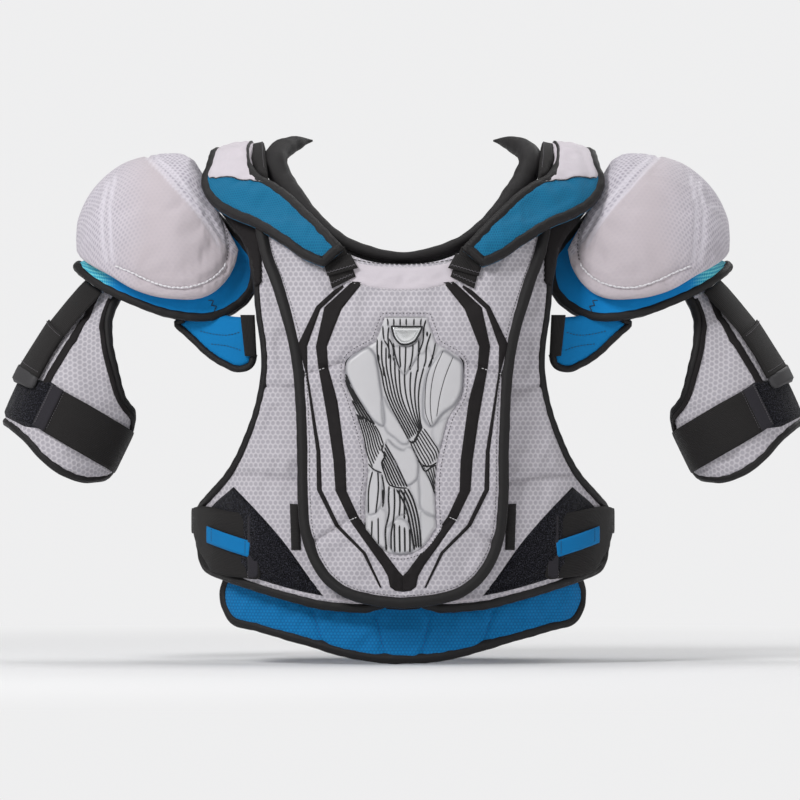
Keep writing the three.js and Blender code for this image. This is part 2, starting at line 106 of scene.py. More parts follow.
class Shoulder:
    """Over the shoulder: u across, a is the angle in degrees from the front wall over the top."""

    def __call__(self, u, a, h):
        u, a = np.asarray(u, float), np.radians(np.asarray(a, float))
        h = np.zeros_like(u) + h
        rise = (VC - shoulder(u)) * UNIT + h
        return np.stack([(u - U0) * UNIT, -section(u, h) * np.cos(a), (VH - VC) * UNIT + rise * np.sin(a)], -1)


OVER = Shoulder()


def angle_of(u, v, h):
    return np.degrees(np.arcsin(np.clip((VC - v) / (VC - shoulder(u) + h / UNIT), 0, 1)))


class Waist:
    """Around the waist: a in degrees from the front centre to the wearer's right, v down."""

    def __call__(self, a, v, h):
        a = np.radians(np.asarray(a, float))
        v = np.asarray(v, float)
        s, c = np.abs(np.sin(a)) ** (2 / RN), np.abs(np.cos(a)) ** (2 / RN)
        return np.stack([-(HW + h) * s, -(HD + h) * c * np.sign(np.cos(a)), (VH - v) * UNIT + 0 * a], -1)


WAIST = Waist()
TILT = math.radians(25.8)
CT, ST = math.cos(TILT), math.sin(TILT)
ARM_T = A(-122, -108, -77, -50, -14, 6)
ARM_R = A(38, 41, 48, 53, 57, 57.5)


def arm_r(t):
    return np.interp(t, ARM_T, ARM_R)


ARM_S0 = 6.5  # the arm centre line, across the arm


class Arm:
    """Round the upper arm: p is the distance round the arm (mm, 0 in front, + towards the body), t runs down the arm in pattern units."""

    def __init__(self, r=None):
        self.r = r

    def __call__(self, p, t, h):
        p, t = np.asarray(p, float), np.asarray(t, float)
        r = (arm_r(t) if self.r is None else self.r(t)) + h
        a = p * UNIT / 55.0
        s = ARM_S0 + r / UNIT * np.sin(a)
        return np.stack([(75 + s * CT - t * ST - U0) * UNIT, -r * np.cos(a), (VH - (400 + s * ST + t * CT)) * UNIT], -1)

    def fab(self, p, t):
        return np.stack([p, -t, 0 * p], -1) * UNIT


ARM = Arm()


def deg_p(a):
    return np.radians(a) * 55.0 / UNIT


def arm_pt(pts, h=0.0):
    """Points given as they look from the front (u, v) to (p, t) on the front of the arm."""
    P = np.array(pts, float)
    x, y = P[:, 0] - 75, P[:, 1] - 400
    s, t = x * CT + y * ST, -x * ST + y * CT
    r = arm_r(t) + h
    return np.stack([np.arcsin(np.clip((s - ARM_S0) * UNIT / r, -1, 1)) * 55.0 / UNIT, t], -1)


# ------------------------------------------------------------------ curves in the plane
def spline(pts, closed=True, step=3.0, sharp=()):
    P = np.array(pts, float)
    n = len(P)
    if sharp == "all":
        sharp = range(n)
    sharp = set(i % n for i in sharp)
    if not closed:
        sharp |= {0, n - 1}
    tan_in, tan_out = np.zeros_like(P), np.zeros_like(P)
    for i in range(n):
        a, b, c = P[(i - 1) % n], P[i], P[(i + 1) % n]
        da, dc = np.linalg.norm(b - a) + 1e-9, np.linalg.norm(c - b) + 1e-9
        if i in sharp:
            tan_in[i], tan_out[i] = (b - a) / da, (c - b) / dc
        else:
            t = ((b - a) / da * dc + (c - b) / dc * da) / (da + dc)
            tan_in[i] = tan_out[i] = t
    out = []
    for i in range(n if closed else n - 1):
        j = (i + 1) % n
        L = np.linalg.norm(P[j] - P[i])
        k = max(1, int(round(L / step)))
        t = (np.arange(k) / k)[:, None]
        m0, m1 = tan_out[i] * L, tan_in[j] * L
        out.append((2 * t**3 - 3 * t**2 + 1) * P[i] + (t**3 - 2 * t**2 + t) * m0 + (-2 * t**3 + 3 * t**2) * P[j] + (t**3 - t**2) * m1)
    if not closed:
        out.append(P[-1:])
    return np.concatenate(out)


def resample(P, step, closed=False):
    Q = np.vstack([P, P[:1]]) if closed else P
    d = np.concatenate([[0], np.cumsum(np.linalg.norm(np.diff(Q, axis=0), axis=1))])
    n = max(2, int(round(d[-1] / step)))
    s = np.linspace(0, d[-1], n + 1)
    if closed:
        s = s[:-1]
    return np.stack([np.interp(s, d, Q[:, k]) for k in range(Q.shape[1])], -1)


def mirror_uv(P):
    Q = np.array(P, float)[::-1].copy()
    Q[:, 0] = 2 * U0 - Q[:, 0]
    return Q


def both_halves(half):
    P = np.array(half, float)
    Q = mirror_uv(P)
    keep = np.abs(Q[:, 0] - U0) > 0.5
    return np.vstack([P, Q[keep]])


def seg_dist(P, poly, closed):
    P = np.asarray(P, float)
    a = poly if closed else poly[:-1]
    b = np.roll(poly, -1, 0) if closed else poly[1:]
    best = np.full(len(P), 1e9)
    d = b - a
    L2 = (d * d).sum(1) + 1e-12
    for k in range(0, len(P), 4000):
        q = P[k : k + 4000, None, :] - a[None]
        t = np.clip((q * d).sum(2) / L2, 0, 1)
        r = q - t[..., None] * d
        best[k : k + 4000] = np.sqrt((r * r).sum(2).min(1))
    return best


def near_dist(P, poly, closed, reach):
    """seg_dist for the points within reach of the line's box, 1e9 elsewhere."""
    lo, hi = poly.min(0) - reach, poly.max(0) + reach
    m = ((P >= lo) & (P <= hi)).all(1)
    out = np.full(len(P), 1e9)
    if m.any():
        out[m] = seg_dist(P[m], poly, closed)
    return out


def inside(P, poly):
    P = np.asarray(P, float)
    x, y = P[:, 0][:, None], P[:, 1][:, None]
    a, b = poly, np.roll(poly, -1, 0)
    cond = (a[None, :, 1] > y) != (b[None, :, 1] > y)
    xi = a[None, :, 0] + (y - a[None, :, 1]) * (b[None, :, 0] - a[None, :, 0]) / (b[None, :, 1] - a[None, :, 1] + 1e-12)
    return (np.sum(cond & (x < xi), axis=1) % 2) == 1


def offset_in(P, d, closed=True):
    """P moved towards its inside by d (closed, either winding)."""
    t = (np.roll(P, -1, 0) - np.roll(P, 1, 0)) if closed else np.gradient(P, axis=0)
    t /= np.linalg.norm(t, axis=1)[:, None] + 1e-12
    n = np.stack([-t[:, 1], t[:, 0]], -1)
    if closed:
        area = 0.5 * np.sum(P[:, 0] * np.roll(P[:, 1], -1) - np.roll(P[:, 0], -1) * P[:, 1])
        if area < 0:
            n = -n
    return P + n * d


# ------------------------------------------------------------------ meshes
MATS = {}


def new_object(name, V, F, mat, fab=None, smooth=True, extra=None):
    me = bpy.data.meshes.new(name)
    V = np.asarray(V, float) * 0.001
    me.from_pydata(V.tolist(), [], F if isinstance(F, list) else F.tolist())
    me.update()
    at = me.attributes.new("fab", "FLOAT_VECTOR", "POINT")
    at.data.foreach_set("vector", (np.zeros_like(V) if fab is None else np.asarray(fab, float)).astype(np.float32).ravel())
    for key, val in (extra or {}).items():
        e = me.attributes.new(key, "FLOAT", "POINT")
        e.data.foreach_set("value", np.asarray(val, np.float32).ravel())
    if smooth:
        me.polygons.foreach_set("use_smooth", [True] * len(me.polygons))
    me.materials.append(MATS[mat])
    o = bpy.data.objects.new(name, me)
    bpy.context.scene.collection.objects.link(o)
    return o


def place(o, body, node=None, blend=None):
    if blend:
        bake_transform(o)
    else:
        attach(o, body)
    if node:
        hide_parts(*([node] if isinstance(node, str) else node))
    return o


def emit(name, V, F, mat, body, node=None, slot=None, fab=None, pair=True, blend=None, **kw):
    """Makes the right-hand piece and its mirror image, or one piece on the centre line."""
    F = F.tolist() if isinstance(F, np.ndarray) else F
    if not pair:
        return place(new_object(name, V, F, mat, fab, **kw), body, node, blend)
    for side in SIDES:
        m = 1 if side == "right" else -1
        W = np.array(V, float) * A(m, 1, 1)
        G = F if m == 1 else [f[::-1] for f in F]
        nm = name + "_" + side
        b = body.replace("*", side)
        nd = None if node is None else [x.replace("*", side) for x in ([node] if isinstance(node, str) else node)]
        bl = None
        if blend:
            bl = (blend[0].replace("*", side), blend[1].replace("*", side), A(*blend[2]) * A(m, 1, 1), A(*blend[3]) * A(m, 1, 1))
        place(new_object(nm, W, G, mat, fab, **kw), b, nd, bl)


def grid_faces(nu, nv, wrap_u=False, wrap_v=False):
    F = []
    for i in range(nu if wrap_u else nu - 1):
        for j in range(nv if wrap_v else nv - 1):
            a, b = i * nv + j, ((i + 1) % nu) * nv + j
            c, d = ((i + 1) % nu) * nv + (j + 1) % nv, i * nv + (j + 1) % nv
            F.append((a, b, c, d))
    return F


def flip_if_inside_out(V, F):
    V = np.asarray(V, float)
    tri = []
    by = {}
    for f in F:
        by.setdefault(len(f), []).append(f)
    vol = 0.0
    for n, fs in by.items():
        fs = np.array(fs, int)
        for k in range(1, n - 1):
            a, b, c = V[fs[:, 0]], V[fs[:, k]], V[fs[:, k + 1]]
            vol += (a[:, 0] * (b[:, 1] * c[:, 2] - b[:, 2] * c[:, 1]) - a[:, 1] * (b[:, 0] * c[:, 2] - b[:, 2] * c[:, 0]) + a[:, 2] * (b[:, 0] * c[:, 1] - b[:, 1] * c[:, 0])).sum()
    return [tuple(f)[::-1] for f in F] if vol < 0 else F


def cloth_lift(P, F, N, pin, pressure=3.0, grow=0.05, cap=4.0, steps=16, bend=0.6, stiff=12.0):
    """Cloth simulation of one face sheet (mm), sewn down where pin is 1. Returns how far each point moves along N (mm)."""
    sc = bpy.context.scene
    me = bpy.data.meshes.new("sim")
    me.from_pydata((np.asarray(P) * 0.001).tolist(), [], [tuple(f) for f in F])
    me.update()
    ob = bpy.data.objects.new("sim", me)
    sc.collection.objects.link(ob)
    # the sheet's faces look outwards
    nn = np.empty(len(me.polygons) * 3)
    me.polygons.foreach_get("normal", nn)
    f0 = np.array([f[0] for f in F])
    if (nn.reshape(-1, 3) * N[f0]).sum() < 0:
        me.flip_normals()
    g = ob.vertex_groups.new(name="pin")
    for lev in np.unique(np.round(pin, 1)):
        if lev > 0:
            g.add(np.nonzero(np.round(pin, 1) == lev)[0].tolist(), float(lev), "REPLACE")
    md = ob.modifiers.new("cloth", "CLOTH")
    c = md.settings
    c.quality, c.mass, c.vertex_group_mass, c.pin_stiffness = 5, 0.25, "pin", 1.0
    c.tension_stiffness = c.compression_stiffness = stiff
    c.shear_stiffness, c.bending_stiffness = stiff * 0.5, bend
    c.air_damping, c.tension_damping, c.compression_damping = 4.0, 8.0, 8.0
    c.use_pressure, c.uniform_pressure_force = True, pressure
    c.shrink_min = c.shrink_max = -grow
    c.effector_weights.gravity = 0
    md.collision_settings.use_collision = False
    md.collision_settings.use_self_collision = False
    md.point_cache.frame_start, md.point_cache.frame_end = 1, steps
    for f in range(1, steps + 1):
        sc.frame_set(f)
    ev = ob.evaluated_get(bpy.context.evaluated_depsgraph_get())
    Q = np.empty(len(me.vertices) * 3)
    ev.data.vertices.foreach_get("co", Q)
    D = Q.reshape(-1, 3) * 1000 - P
    bpy.data.objects.remove(ob)
    bpy.data.meshes.remove(me)
    sc.frame_set(1)
    h = (D * N).sum(1)
    h = cap * np.tanh(h / cap)
    return np.where(np.isfinite(h), h, 0) * (1 - np.clip(pin, 0, 1))


def triangulate(outline, step, holes=(), lines=(), fine=None):
    """Points and triangles that fill the outline, clear of the holes."""
    lo, hi = outline.min(0), outline.max(0)
    xs = np.arange(lo[0], hi[0] + step, step)
    ys = np.arange(lo[1], hi[1] + step, step * 0.866)
    X, Y = np.meshgrid(xs, ys)
    X = X + (np.arange(len(ys)) % 2)[:, None] * step / 2
    P = np.stack([X.ravel(), Y.ravel()], -1)
    P = P[inside(P, outline)]
    loops = [outline] + list(holes)
    for l in loops:
        P = P[seg_dist(P, l, True) > step * 0.55]
    for h in holes:
        P = P[~inside(P, h)]
    extra = []
    for l in lines:
        l = l[inside(l, outline) & (seg_dist(l, outline, True) > step * 0.5)]
        if len(l) > 1:
            P = P[seg_dist(P, l, False) > step * 0.5]
            extra.append(l)
    pts = list(loops) + extra + [P]
    V = np.vstack(pts)
    E, k = [], 0
    for l in loops:
        n = len(l)
        E += [(k + i, k + (i + 1) % n) for i in range(n)]
        k += n
    vs, es, fs, ov, oe, of_ = delaunay_2d_cdt([Vector(p) for p in V.tolist()], E, [], 0, 1e-6)
    Q = np.array([tuple(v) for v in vs], float)
    T = np.array([f for f in fs], int)
    c = Q[T].mean(1)
    ok = inside(c, outline)
    for h in holes:
        ok &= ~inside(c, h)
    T = T[ok]
    used = np.unique(T)
    remap = -np.ones(len(Q), int)
    remap[used] = np.arange(len(used))
    Q, T = Q[used], remap[T]
    a, b, c = Q[T[:, 0]], Q[T[:, 1]], Q[T[:, 2]]
    cr = (b[:, 0] - a[:, 0]) * (c[:, 1] - a[:, 1]) - (b[:, 1] - a[:, 1]) * (c[:, 0] - a[:, 0])
    T[cr < 0] = T[cr < 0][:, ::-1]
    return Q, T


def boundary_edges(T):
    E = np.vstack([T[:, [0, 1]], T[:, [1, 2]], T[:, [2, 0]]])
    seen = {}
    for a, b in E.tolist():
        if (b, a) in seen:
            del seen[(b, a)]
        else:
            seen[(a, b)] = 1
    return list(seen)


class Pad:
    """A soft panel: the outline and holes in sheet units, its layers in mm."""

    def __init__(self, outline, lo, hi, surf=FRONT, R=9.0, edge=0.45, holes=(), seams=(), crown=0.0, bump=None, unit=UNIT):
        self.outline, self.lo, self.hi, self.surf, self.R, self.edge = outline, lo, hi, surf, R, edge
        self.holes, self.seams, self.crown, self.bump, self.unit = list(holes), list(seams), crown, bump, unit

    def puffed(self, P):
        """Height added by the cloth simulation at the points P, the same on both sides of a centre piece."""
        if self.even:
            M = P.copy()
            M[:, 0] = 2 * U0 - M[:, 0]
            return 0.5 * (self.read(P) + self.read(M))
        return self.read(P)

    even = False

    def read(self, P):
        out = np.zeros(len(P))
        for i, q in enumerate(P.tolist()):
            w = t = 0.0
            for co, k, dist in self.kd.find_n((q[0], q[1], 0), 4):
                wt = 1.0 / (dist + 0.05) ** 2
                w += wt
                t += wt * self.lift[k]
            out[i] = t / w
        return out

    def simulate(self, step, lines=(), pin_rim=0.8, pin_fn=None, **kw):
        from mathutils.kdtree import KDTree

        Q, T = triangulate(self.outline, step, self.holes, [x[0] for x in self.seams] + list(lines))
        u, v = Q[:, 0], Q[:, 1]
        top = self.top(u, v)
        P = self.surf(u, v, top)
        N = self.surf(u, v, top + 1.0) - P
        N /= np.linalg.norm(N, axis=1)[:, None] + 1e-9
        d = seg_dist(Q, self.outline, True) * self.unit
        pin = 1 - sstep(self.R * 0.45, self.R * 1.0, d)
        for line, dep, w in self.seams:
            ds = near_dist(Q, line, False, 12) * self.unit
            pin = np.maximum(pin, 1 - sstep(0.8, 3.2, ds))
        if pin_fn is not None:
            pin = np.maximum(pin, pin_fn(u, v))
        self.lift = cloth_lift(P, T.tolist(), N, pin, **kw)
        self.kd = KDTree(len(Q))
        for i, q in enumerate(Q.tolist()):
            self.kd.insert((q[0], q[1], 0), i)
        self.kd.balance()
        self.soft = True
        return self

    soft = False

    def level(self, what, u, v):
        return what(u, v) if callable(what) else np.zeros_like(u) + what

    def top(self, u, v):
        u, v = np.atleast_1d(np.asarray(u, float)), np.atleast_1d(np.asarray(v, float))
        P = np.stack([u, v], -1)
        d = seg_dist(P, self.outline, True)
        d = np.where(inside(P, self.outline), d, 0)
        for h in self.holes:
            d = np.minimum(d, seg_dist(P, h, True))
        d = d * self.unit
        lo, hi = self.level(self.lo, u, v), self.level(self.hi, u, v)
        prof = np.sqrt(np.maximum(0, 1 - (1 - np.clip(d / self.R, 0, 1)) ** 2))
        t = lo + (hi - lo) * (self.edge + (1 - self.edge) * prof)
        t = t + self.crown * sstep(0, self.R * 4, d)
        for line, depth, w in self.seams:
            ds = near_dist(P, line, False, 10 * w) * self.unit
            t = t - depth * np.exp(-((ds / w) ** 2)) * sstep(1, 6, d) - depth * 0.35 * np.exp(-((ds / (3.2 * w)) ** 2)) * sstep(1, 6, d)
        if self.bump is not None:
            t = t + self.bump(u, v, d)
        if self.soft:
            t = t + self.puffed(P)
        return t

    def build(self, name, mat, body, step=3.2, node=None, slot=None, pair=True, under=None, lines=(), fab=None, blend=None):
        Q, T = triangulate(self.outline, step, self.holes, [s[0] for s in self.seams] + list(lines))
        u, v = Q[:, 0], Q[:, 1]
        top = self.top(u, v)
        lo = self.level(self.lo, u, v)
        be = boundary_edges(T)
        rim = sorted({a for e in be for a in e})
        mid = lo[rim] + (top[rim] - lo[rim]) * 0.5
        n = len(Q)
        top2 = top.copy()
        U = self.surf(u, v, top2)
        B = self.surf(u, v, lo)
        fx = self.surf.fab(u, v) if hasattr(self.surf, "fab") else np.stack([u, -v, 0 * u], -1)
        if fab is not None:
            fx = fab(u, v)
        F = T.tolist() + (T[:, ::-1] + n).tolist() + [(b, a, a + n, b + n) for a, b in be]
        V = np.vstack([U, B])
        F = flip_if_inside_out(V, F)
        ex = {k: np.concatenate([fn(u, v)] * 2) for k, fn in self.extra.items()}
        emit(name, V, F, mat, body, node, slot, np.vstack([fx, fx]), pair, blend, extra=ex)
        return self

    extra = {}


def frames(C, N, closed):
    T = (np.roll(C, -1, 0) - np.roll(C, 1, 0)) if closed else np.gradient(C, axis=0)
    T /= np.linalg.norm(T, axis=1)[:, None] + 1e-12
    N = N - (N * T).sum(1)[:, None] * T
    N /= np.linalg.norm(N, axis=1)[:, None] + 1e-12
    return T, N, np.cross(T, N)


def tube_geo(C, N, a, b, closed=False, k=14, wob=0.0, power=2.4, caps=True, crease=0.0):
    """A soft tube through C; a is half the width across N, b half the height along N."""
    C = np.asarray(C, float)
    n = len(C)
    T, N, B = frames(C, np.asarray(N, float), closed)
    a, b = np.zeros(n) + a, np.zeros(n) + b
    th = np.arange(k) / k * 2 * np.pi
    c, s = np.cos(th), np.sin(th)
    pc, ps = np.sign(c) * np.abs(c) ** (2 / power), np.sign(s) * np.abs(s) ** (2 / power)
    step = np.linalg.norm(np.diff(np.vstack([C, C[:1]]) if closed else C, axis=0), axis=1)
    L = np.concatenate([[0], np.cumsum(step)])[:n]
    total = step.sum()
    w = 1 + 0 * L[:, None] * th[None]
    if wob:
        for q in range(5):
            m = rng.integers(3, 6 + int(total / 14))
            f = 2 * np.pi * m / max(total, 1)
            w = w + wob / 2.2 * rng.uniform(0.4, 1) * np.sin(f * L[:, None] + rng.uniform(0, 6.28) + rng.integers(-1, 3) * th[None])
    if crease:
        for th0, dep in ((math.radians(58), 1.0), (math.radians(122), 1.0)):
            w = w * (1 - crease * dep * np.exp(-(((th[None] - th0) / 0.2) ** 2)))
    V = C[:, None] + B[:, None] * (a[:, None] * pc[None] * w)[..., None] + N[:, None] * (b[:, None] * ps[None] * w)[..., None]
    fab = np.stack([np.repeat(L[:, None], k, 1), np.repeat((th * (a.mean() + b.mean()) / 2)[None], n, 0), np.zeros((n, k))], -1)
    V, fab = V.reshape(-1, 3), fab.reshape(-1, 3)
    F = grid_faces(n, k, wrap_u=closed, wrap_v=True)
    if not closed and caps:
        F.append(tuple(range(k)))
        F.append(tuple(range((n - 1) * k, n * k))[::-1])
    return V, flip_if_inside_out(V, F), fab


def normals_on(surf, P, h):
    return surf(P[:, 0], P[:, 1], h + 1.0) - surf(P[:, 0], P[:, 1], h)


def join_geo(parts):
    V, F, G, k = [], [], [], 0
    for v, f, g in parts:
        V.append(v)
        F += [tuple(i + k for i in q) for q in f]
        G.append(g)
        k += len(v)
    return np.vstack(V), F, np.vstack(G)


def band(path, surf, h, a, b, closed=False, inset=0.0, k=14, wob=0.06, power=2.6, lift=0.0, crease=0.10):
    """Binding along a path on a surface: h level at the middle of its height."""
    P = offset_in(path, inset, closed) if inset and closed else path
    hh = h(P[:, 0], P[:, 1]) if callable(h) else np.zeros(len(P)) + h
    C = surf(P[:, 0], P[:, 1], hh + lift)
    return tube_geo(C, normals_on(surf, P, hh), a, b, closed, max(k, 28), wob, power, crease=crease)


def stitch_geo(C, N, length=3.0, gap=1.5, r=0.38, lift=0.15, sink=0.3, zig=0.0, k=6):
    """Thread stitches along the 3-D path C (mm)."""
    C, N = np.asarray(C, float), np.asarray(N, float)
    d = np.concatenate([[0], np.cumsum(np.linalg.norm(np.diff(C, axis=0), axis=1))])

    def at(s):
        return np.stack([np.interp(s, d, C[:, i]) for i in range(3)], -1), np.stack([np.interp(s, d, N[:, i]) for i in range(3)], -1)

    parts, s, flip = [], 0.2, 1
    while s + length < d[-1]:
        q = s + length * np.linspace(0, 1, 5)
        c, n = at(q)
        n /= np.linalg.norm(n, axis=1)[:, None] + 1e-9
        if zig:
            t = c[-1] - c[0]
            side = np.cross(n[0], t / (np.linalg.norm(t) + 1e-9))
            c = c + side * (np.linspace(-1, 1, 5) * flip * zig)[:, None]
            flip = -flip
        bow = np.sin(np.linspace(0, np.pi, 5))
        c = c + n * (lift * bow - sink * (1 - bow))[:, None]
        rr = r * np.array([0.55, 0.95, 1, 0.95, 0.55])
        parts.append(tube_geo(c, n, rr, rr * 0.9, False, k, 0, 2.0))
        s += length + (0 if zig else gap)
    return join_geo(parts)


def path_on(surf, P, h):
    hh = h(P[:, 0], P[:, 1]) if callable(h) else np.zeros(len(P)) + h
    return surf(P[:, 0], P[:, 1], hh), normals_on(surf, P, hh)


def sheet_geo(rows, thick, edge_round=True):
    """A thin strap from a grid of points rows[i][j] (mm) with normals: closed, with soft edges. rows is (nu, nv, 3), nrm the same."""
    P, N = rows
    nu, nv, _ = P.shape
    up, dn = P + N * thick / 2, P - N * thick / 2
    V = np.vstack([up.reshape(-1, 3), dn.reshape(-1, 3)])
    off = nu * nv
    F = grid_faces(nu, nv)
    G = [tuple(i + off for i in f)[::-1] for f in F]
    R = []
    for i in range(nu - 1):
        R.append((i * nv, i * nv + off, (i + 1) * nv + off, (i + 1) * nv))
        R.append((i * nv + nv - 1, (i + 1) * nv + nv - 1, (i + 1) * nv + nv - 1 + off, i * nv + nv - 1 + off))
    for j in range(nv - 1):
        R.append((j, j + 1, j + 1 + off, j + off))
        R.append(((nu - 1) * nv + j, (nu - 1) * nv + j + off, (nu - 1) * nv + j + 1 + off, (nu - 1) * nv + j + 1))
    F = F + G + R
    return V, F


# ------------------------------------------------------------------ materials
def lin(r, g, b):
    f = lambda c: c / 12.92 if c <= 0.04045 else ((c + 0.055) / 1.055) ** 2.4
    return (f(r / 255), f(g / 255), f(b / 255), 1)


class Shader:
    def __init__(self, name):
        self.m = bpy.data.materials.new(name)
        self.m.use_nodes = True
        self.t = self.m.node_tree
        self.t.nodes.clear()
        self.out = self.t.nodes.new("ShaderNodeOutputMaterial")
        self.p = self.t.nodes.new("ShaderNodeBsdfPrincipled")
        self.t.links.new(self.p.outputs[0], self.out.inputs[0])
        a = self.t.nodes.new("ShaderNodeAttribute")
        a.attribute_name = "fab"
        self.fab = a.outputs["Vector"]
        MATS[name] = self.m

    def put(self, sock, v):
        if isinstance(v, bpy.types.NodeSocket):
            self.t.links.new(v, sock)
        elif v is not None:
            sock.default_value = v

    def set(self, **kw):
        for k, v in kw.items():
            self.put(self.p.inputs[k.replace("_", " ")], v)
        return self

    def attr(self, name):
        a = self.t.nodes.new("ShaderNodeAttribute")
        a.attribute_name = name
        return a.outputs["Fac"]

    def math(self, op, a, b=None, c=None, clamp=False):
        n = self.t.nodes.new("ShaderNodeMath")
        n.operation, n.use_clamp = op, clamp
        for i, x in enumerate((a, b, c)):
            self.put(n.inputs[i], x)
        return n.outputs[0]

    def vec(self, op, a, b=None, c=None, scale=None):
        n = self.t.nodes.new("ShaderNodeVectorMath")
        n.operation = op
        for i, x in enumerate((a, b, c)):
            if x is not None:
                self.put(n.inputs[i], x)
        if scale is not None:
            self.put(n.inputs["Scale"], scale)
        return n.outputs["Value"] if op in ("LENGTH", "DOT_PRODUCT", "DISTANCE") else n.outputs["Vector"]

    def xyz(self, v):
        n = self.t.nodes.new("ShaderNodeSeparateXYZ")
        self.put(n.inputs[0], v)
        return n.outputs

    def combine(self, x=0.0, y=0.0, z=0.0):
        n = self.t.nodes.new("ShaderNodeCombineXYZ")
        for i, q in enumerate((x, y, z)):
            self.put(n.inputs[i], q)
        return n.outputs[0]

    def ramp(self, v, a, b, lo=0.0, hi=1.0):
        n = self.t.nodes.new("ShaderNodeMapRange")
        n.interpolation_type = "SMOOTHSTEP"
        for k, x in (("Value", v), ("From Min", a), ("From Max", b), ("To Min", lo), ("To Max", hi)):
            self.put(n.inputs[k], x)
        return n.outputs[0]

    def mix(self, f, a, b, mode="MIX"):
        n = self.t.nodes.new("ShaderNodeMix")
        n.data_type, n.blend_type = "RGBA", mode
        self.put(n.inputs[0], f)
        self.put(n.inputs[6], a)
        self.put(n.inputs[7], b)
        return n.outputs[2]

    def noise(self, scale, detail=2.0, rough=0.5, vec=None, dist=0.0):
        n = self.t.nodes.new("ShaderNodeTexNoise")
        self.put(n.inputs["Vector"], vec if vec is not None else self.fab)
        n.inputs["Scale"].default_value = scale
        n.inputs["Detail"].default_value = detail
        n.inputs["Roughness"].default_value = rough
        n.inputs["Distortion"].default_value = dist
        return n.outputs[0]

    def object_noise(self, scale, detail=2.0):
        c = self.t.nodes.new("ShaderNodeTexCoord")
        return self.noise(scale, detail, 0.5, c.outputs["Object"])

    def hexcell(self, pitch, vec=None):
        """Distance to the nearest point of a hexagonal lattice, in pitches."""
        q = self.vec("MULTIPLY", vec if vec is not None else self.fab, (1 / pitch, 1 / pitch, 0))
        h = math.sqrt(3) / 2
        a = self.vec("LENGTH", self.vec("WRAP", q, (0.5, h, 1), (-0.5, -h, -1)))
        b = self.vec("LENGTH", self.vec("WRAP", self.vec("ADD", q, (0.5, h, 0)), (0.5, h, 1), (-0.5, -h, -1)))
        return self.math("MINIMUM", a, b)

    def bump(self, height, strength=0.5, distance=0.0005, normal=None):
        n = self.t.nodes.new("ShaderNodeBump")
        n.inputs["Strength"].default_value = strength
        n.inputs["Distance"].default_value = distance
        self.put(n.inputs["Height"], height)
        if normal is not None:
            self.put(n.inputs["Normal"], normal)
        self.put(self.p.inputs["Normal"], n.outputs[0])
        return n.outputs[0]


def weave(s, pitch=0.7):
    """A plain weave: two crossed waves."""
    x = s.xyz(s.vec("MULTIPLY", s.fab, (2 * math.pi / pitch,) * 3))
    return s.math("MULTIPLY", s.math("SINE", x[0]), s.math("SINE", x[1]))


def fabric_mesh(name, base, dot, pitch, r0, r1, sheen=0.25, rough=0.82, depth=0.0006, grain=0.10, soft=None):
    s = Shader(name)
    d = s.hexcell(pitch)
    mask = s.ramp(d, r0, r1, 1.0, 0.0)
    fine = s.noise(2.4, 3.0, 0.6)
    wide = s.noise(0.035, 2.0, 0.5)
    col = s.mix(mask, lin(*base), lin(*dot))
    k = s.math("ADD", s.math("MULTIPLY", s.math("SUBTRACT", fine, 0.5), grain * 2), s.math("MULTIPLY", s.math("SUBTRACT", wide, 0.5), 0.10))
    k = s.math("ADD", k, 1.0)
    col = s.vec("SCALE", col, scale=k)
    s.set(Base_Color=col, Roughness=rough, Sheen_Weight=sheen, Sheen_Roughness=0.5, Specular_IOR_Level=0.3)
    w = s.math("MULTIPLY", weave(s, 0.9), 0.16)
    h = s.math("ADD", s.math("SUBTRACT", w, s.math("MULTIPLY", mask, 0.8)), s.math("MULTIPLY", fine, 0.35))
    s.bump(h, 0.55, depth)
    return s


